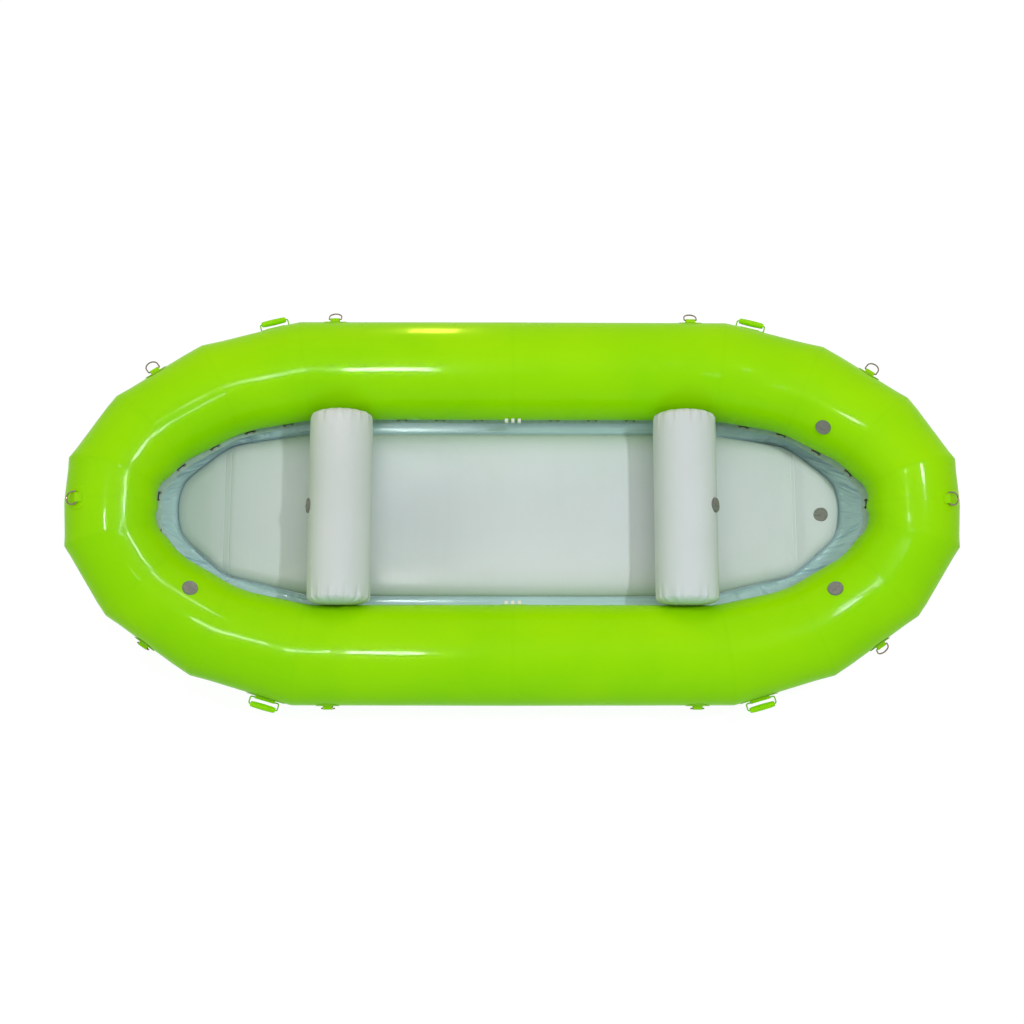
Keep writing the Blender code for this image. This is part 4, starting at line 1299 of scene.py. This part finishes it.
def makeValves():
    bottom = valve["seat"] - valve["seatThickness"]
    skirt = valve["skirt"]
    profile = [(valve["recess"], valve["lip"] - 0.0006), (valve["recess"] + 0.0006, valve["lip"]),
               (valve["flange"] - 0.004, valve["lip"]), (valve["flange"] - 0.001, valve["lip"] - 0.0008),
               (valve["flange"], valve["lip"] - 0.0022), (valve["flange"] + 0.0004, skirt), (valve["neck"], skirt),
               (valve["neck"], bottom), (valve["bore"], bottom), (valve["bore"], valve["seat"]),
               (valve["recess"], valve["seat"]), (valve["recess"], valve["lip"] - 0.0006)]
    bodyModel = turnedPiece("bodyModel", profile, 48)
    spider = block("spiderModel", valve["spider"], (0, 0, valve["seat"] - valve["seatThickness"] / 2))
    addStep(spider, "BEVEL", width=0.0006, segments=2)
    bodyModel = join("bodyModel", [bodyModel, spider])
    low = valve["lip"] + valve["gap"]
    high = low + valve["capThickness"]
    outer, inner, depth = valve["spigot"]
    r = valve["capRadius"]
    profile = [(0.0, high - 0.0006), (0.018, high - 0.0006), (0.026, high - 0.0005), (0.0278, high - 0.0001),
               (0.0292, high), (r - 0.0016, high), (r - 0.0004, high - 0.0006), (r, high - 0.0018), (r, low + 0.0006),
               (r - 0.0005, low), (outer, low), (outer, low - depth), (inner, low - depth), (inner, low + 0.001),
               (0.0, low + 0.001)]
    capModel = turnedPiece("capModel", profile, 72)
    for v in capModel.data.vertices:       # a ribbed rim for the fingers
        reach = Vector((v.co.x, v.co.y)).length
        if reach > r - 0.0008:
            angle = Vector((v.co.x, v.co.y)).angle_signed(Vector((1, 0)))
            share = 1 - valve["ribDepth"] * (0.5 + 0.5 * cos(angle * valve["ribs"]))
            v.co.x *= share
            v.co.y *= share
    grip = block("gripBar", valve["grip"], (0, 0, high - 0.001 + valve["grip"][2] / 2))
    openMesh(grip)
    bpy.ops.mesh.select_all(action="SELECT")
    bpy.ops.mesh.bevel(offset=0.0012, segments=3, affect="EDGES")
    closeMesh()
    smoothOver(grip, 40)
    capModel = join("capModel", [capModel, grip])
    smoothOver(capModel, 35)
    flatUv(capModel)
    spots = []
    share = valve["run"] / hull["panelLengths"][1]
    for place, quarter in (("bow_port", "bow_port"), ("bow_starboard", "bow_starboard"),
                           ("stern", "stern_starboard")):
        spots.append((place, facetFrame(quarter, 2, share, valve["clocks"][place])))
    top = Matrix.Translation((valve["floorX"], 0, floor["bottom"] + floor["thickness"] + kick(valve["floorX"])))
    spots.append(("floor", top @ Matrix.Rotation(-radians(floor["kick"]), 4, "Y")))
    for end, sign in (("bow", 1), ("stern", -1)):
        turn = Matrix.Rotation(radians(90 - thwartTilts[end]) * sign, 4, "Y")
        centre = Matrix.Translation((sign * thwartSpacing / 2, 0, thwartHeight))
        spots.append(("thwart_" + end, centre @ turn @ Matrix.Translation((0, 0, thwart["radius"]))))
    for place, spot in spots:
        dress(twin(bodyModel, "valveBody" + camel(place), spot), paint["valve"], stands=("valve_body_" + place,))
        dress(twin(capModel, "valveCap" + camel(place), spot), paint["cap"], body="valve_cap_" + place,
              stands=("valve_cap_" + place,))
        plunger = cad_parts["valve_plunger_" + place]
        for slot in plunger.material_slots:
            slot.material = paint["valve"]
    discard(bodyModel, capModel)


makeValves()
print("valves made")


# Stage and light

studio = {"floorTone": 0.80, "whiteShare": 0.86, "white": 1.08, "world": 0.40, "overhead": 112.0, "key": 208.0,
          "warm": 84.0, "cool": 72.0, "sternFill": 60.0, "glow": 210.0, "spread": 36.0, "yellow": 0.9}
# Small lamps over the tubes that only show as streaks on them: start, end, the spot they point at,
# width and share of the glow
tubeLamps = (
    ((-0.98, 0.28, 2.13), (-0.42, 0.34, 2.15), (-0.57, 0.65, 0.48), 0.24, 1.00),
    ((-0.62, 0.30, 2.10), (-0.58, 0.30, 2.10), (-1.01, 0.64, 0.48), 0.16, 0.40),
    ((-1.20, 0.35, 2.19), (-0.92, 0.35, 2.16), (-1.28, 0.59, 0.51), 0.20, 0.22),
    ((-0.57, 0.17, 1.79), (-0.98, -0.23, 2.00), (-1.72, 0.25, 0.57), 0.09, 0.80),
    ((-0.65, 0.40, 1.81), (-0.52, 0.11, 1.69), (-1.81, -0.02, 0.61), 0.10, 1.00),
    ((-0.72, 0.25, 1.85), (-1.15, 0.51, 1.93), (-1.72, -0.28, 0.58), 0.09, 0.80),
    ((-1.98, 0.22, 2.31), (-1.94, 0.10, 2.32), (-1.89, -0.11, 0.64), 0.17, 0.80),
    ((-1.42, -0.57, 2.22), (-1.06, -0.58, 2.20), (-1.27, -0.64, 0.51), 0.15, 0.50),
    ((-1.26, -0.42, 2.14), (-1.22, -0.42, 2.14), (-1.00, -0.70, 0.48), 0.14, 0.45),
    ((-1.09, -0.54, 2.16), (-1.05, -0.54, 2.16), (-0.86, -0.70, 0.48), 0.14, 0.50),
    ((-0.96, -0.61, 2.17), (-0.48, -0.70, 2.18), (-0.58, -0.71, 0.48), 0.18, 1.00),
    ((1.41, -0.39, 2.21), (1.49, -0.21, 2.23), (1.51, -0.52, 0.54), 0.12, 0.90),
    ((1.47, 0.02, 2.20), (1.26, -0.14, 2.22), (1.75, -0.30, 0.59), 0.10, 0.50),
    ((1.06, 0.24, 2.11), (1.10, 0.03, 2.14), (1.84, -0.10, 0.62), 0.11, 0.80),
    ((2.35, 0.47, 2.25), (2.32, 0.34, 2.26), (1.91, 0.10, 0.64), 0.24, 0.90),
    ((0.99, 0.02, 2.09), (1.12, -0.04, 2.12), (1.62, 0.38, 0.55), 0.13, 0.90),
    ((1.14, 0.00, 2.11), (1.19, 0.00, 2.12), (1.39, 0.54, 0.51), 0.14, 0.70),
    ((0.94, 0.74, 2.18), (0.98, 0.76, 2.18), (1.11, 0.65, 0.49), 0.08, 0.30),
)
yellowLamp = ((-0.60, 2.55, 0.32), (-0.30, 2.55, 0.32), (-0.38, 0.87, 0.43), 0.50, studio["yellow"])


def seenRays(tree):
    # 1 for the rays that see the surroundings as plain white, 0 for those that light the raft.
    ray = tree.nodes.new("ShaderNodeLightPath")
    camera, glossy, through = [Tap(tree, ray.outputs["Is %s Ray" % kind])
                               for kind in ("Camera", "Glossy", "Transmission")]
    return camera.most(glossy).most(through)


def makeStage():
    letGo()
    bpy.ops.mesh.primitive_plane_add(size=40.0, location=(0, 0, -0.002))
    ground = newest("studioFloor")
    finish = Finish("studioWhite", {"Roughness": 0.9, "Specular IOR Level": 0.0,
                                    "Base Color": (studio["floorTone"],) * 3 + (1.0,)})
    white = finish.node("ShaderNodeEmission", {}, {"Color": (1, 1, 1, 1), "Strength": studio["white"]})
    mixed = finish.node("ShaderNodeMixShader", {}, {0: seenRays(finish.tree) * studio["whiteShare"],
                                                    1: Tap(finish.tree, finish.shader.outputs[0]), 2: white})
    out = finish.tree.nodes["Material Output"]
    finish.tree.links.new(mixed.socket, out.inputs["Surface"])
    ground.data.materials.append(finish.material)


def areaLamp(name, place, aim, size, power, colour=(1, 1, 1), glossy=True, diffuse=True):
    bpy.ops.object.light_add(type="AREA", location=place)
    lamp = newest(name)
    lamp.data.shape = "RECTANGLE"
    lamp.data.size, lamp.data.size_y = size
    lamp.data.energy = power
    lamp.data.color = colour
    lamp.rotation_euler = (Vector(aim) - Vector(place)).to_track_quat("-Z", "Y").to_euler()
    lamp.visible_glossy = glossy
    lamp.visible_diffuse = diffuse
    lamp.visible_camera = False
    return lamp


def makeLight():
    world = bpy.data.worlds.new("studioWorld")
    bpy.context.scene.world = world
    world.use_nodes = True
    tree = world.node_tree
    lit = tree.nodes["Background"]
    lit.inputs["Color"].default_value = (1.0, 1.0, 1.0, 1.0)
    lit.inputs["Strength"].default_value = studio["world"]
    seen = tree.nodes.new("ShaderNodeBackground")
    seen.inputs["Color"].default_value = (1.0, 1.0, 1.0, 1.0)
    mixed = tree.nodes.new("ShaderNodeMixShader")
    tree.links.new(seenRays(tree).socket, mixed.inputs[0])
    tree.links.new(lit.outputs[0], mixed.inputs[1])
    tree.links.new(seen.outputs[0], mixed.inputs[2])
    tree.links.new(mixed.outputs[0], tree.nodes["World Output"].inputs["Surface"])
    areaLamp("softOverhead", (0.0, 0.8, 6.4), (0.0, 0.0, 0.0), (5.0, 4.0), studio["overhead"], glossy=False)
    areaLamp("keyLamp", (3.7, 0.7, 8.1), (0.0, 0.0, 0.2), (0.9, 0.3), studio["key"], (0.95, 1.0, 1.0), glossy=False)
    areaLamp("warmFill", (0.0, 6.5, 2.6), (0.0, 0.7, 0.2), (5.0, 1.5), studio["warm"], (1.0, 0.68, 0.42), glossy=False)
    areaLamp("coolFill", (0.0, -6.5, 2.6), (0.0, -0.7, 0.2), (5.0, 1.5), studio["cool"], (0.28, 1.0, 0.80),
             glossy=False)
    areaLamp("sternFill", (-5.5, 0.4, 3.5), (-0.5, 0.0, 0.2), (4.0, 1.6), studio["sternFill"], (1.0, 1.0, 0.86),
             glossy=False)
    half = radians(studio["spread"] / 2)
    focus = tan(half) / (tan(half) - half)          # how much brighter the narrow spread makes a lamp
    rows = [(*row, (1.0, 1.0, 1.0)) for row in tubeLamps] + [(*yellowLamp, (1.0, 0.85, 0.12))]
    for k, (start, end, aim, width, share, colour) in enumerate(rows):
        a, b, spot = Vector(start), Vector(end), Vector(aim)
        length = (b - a).length
        lamp = areaLamp("tubeLamp%d" % (k + 1), (a + b) / 2, spot, (length, width),
                        studio["glow"] * share * pi * length * width / focus, colour, diffuse=False)
        away = ((a + b) / 2 - spot).normalized()
        along = (b - a) - away * (b - a).dot(away)
        along.normalize()
        lamp.rotation_euler = Matrix((along, away.cross(along), away)).transposed().to_euler()
        lamp.data.spread = 2 * half


makeStage()
makeLight()

print("scene ready")
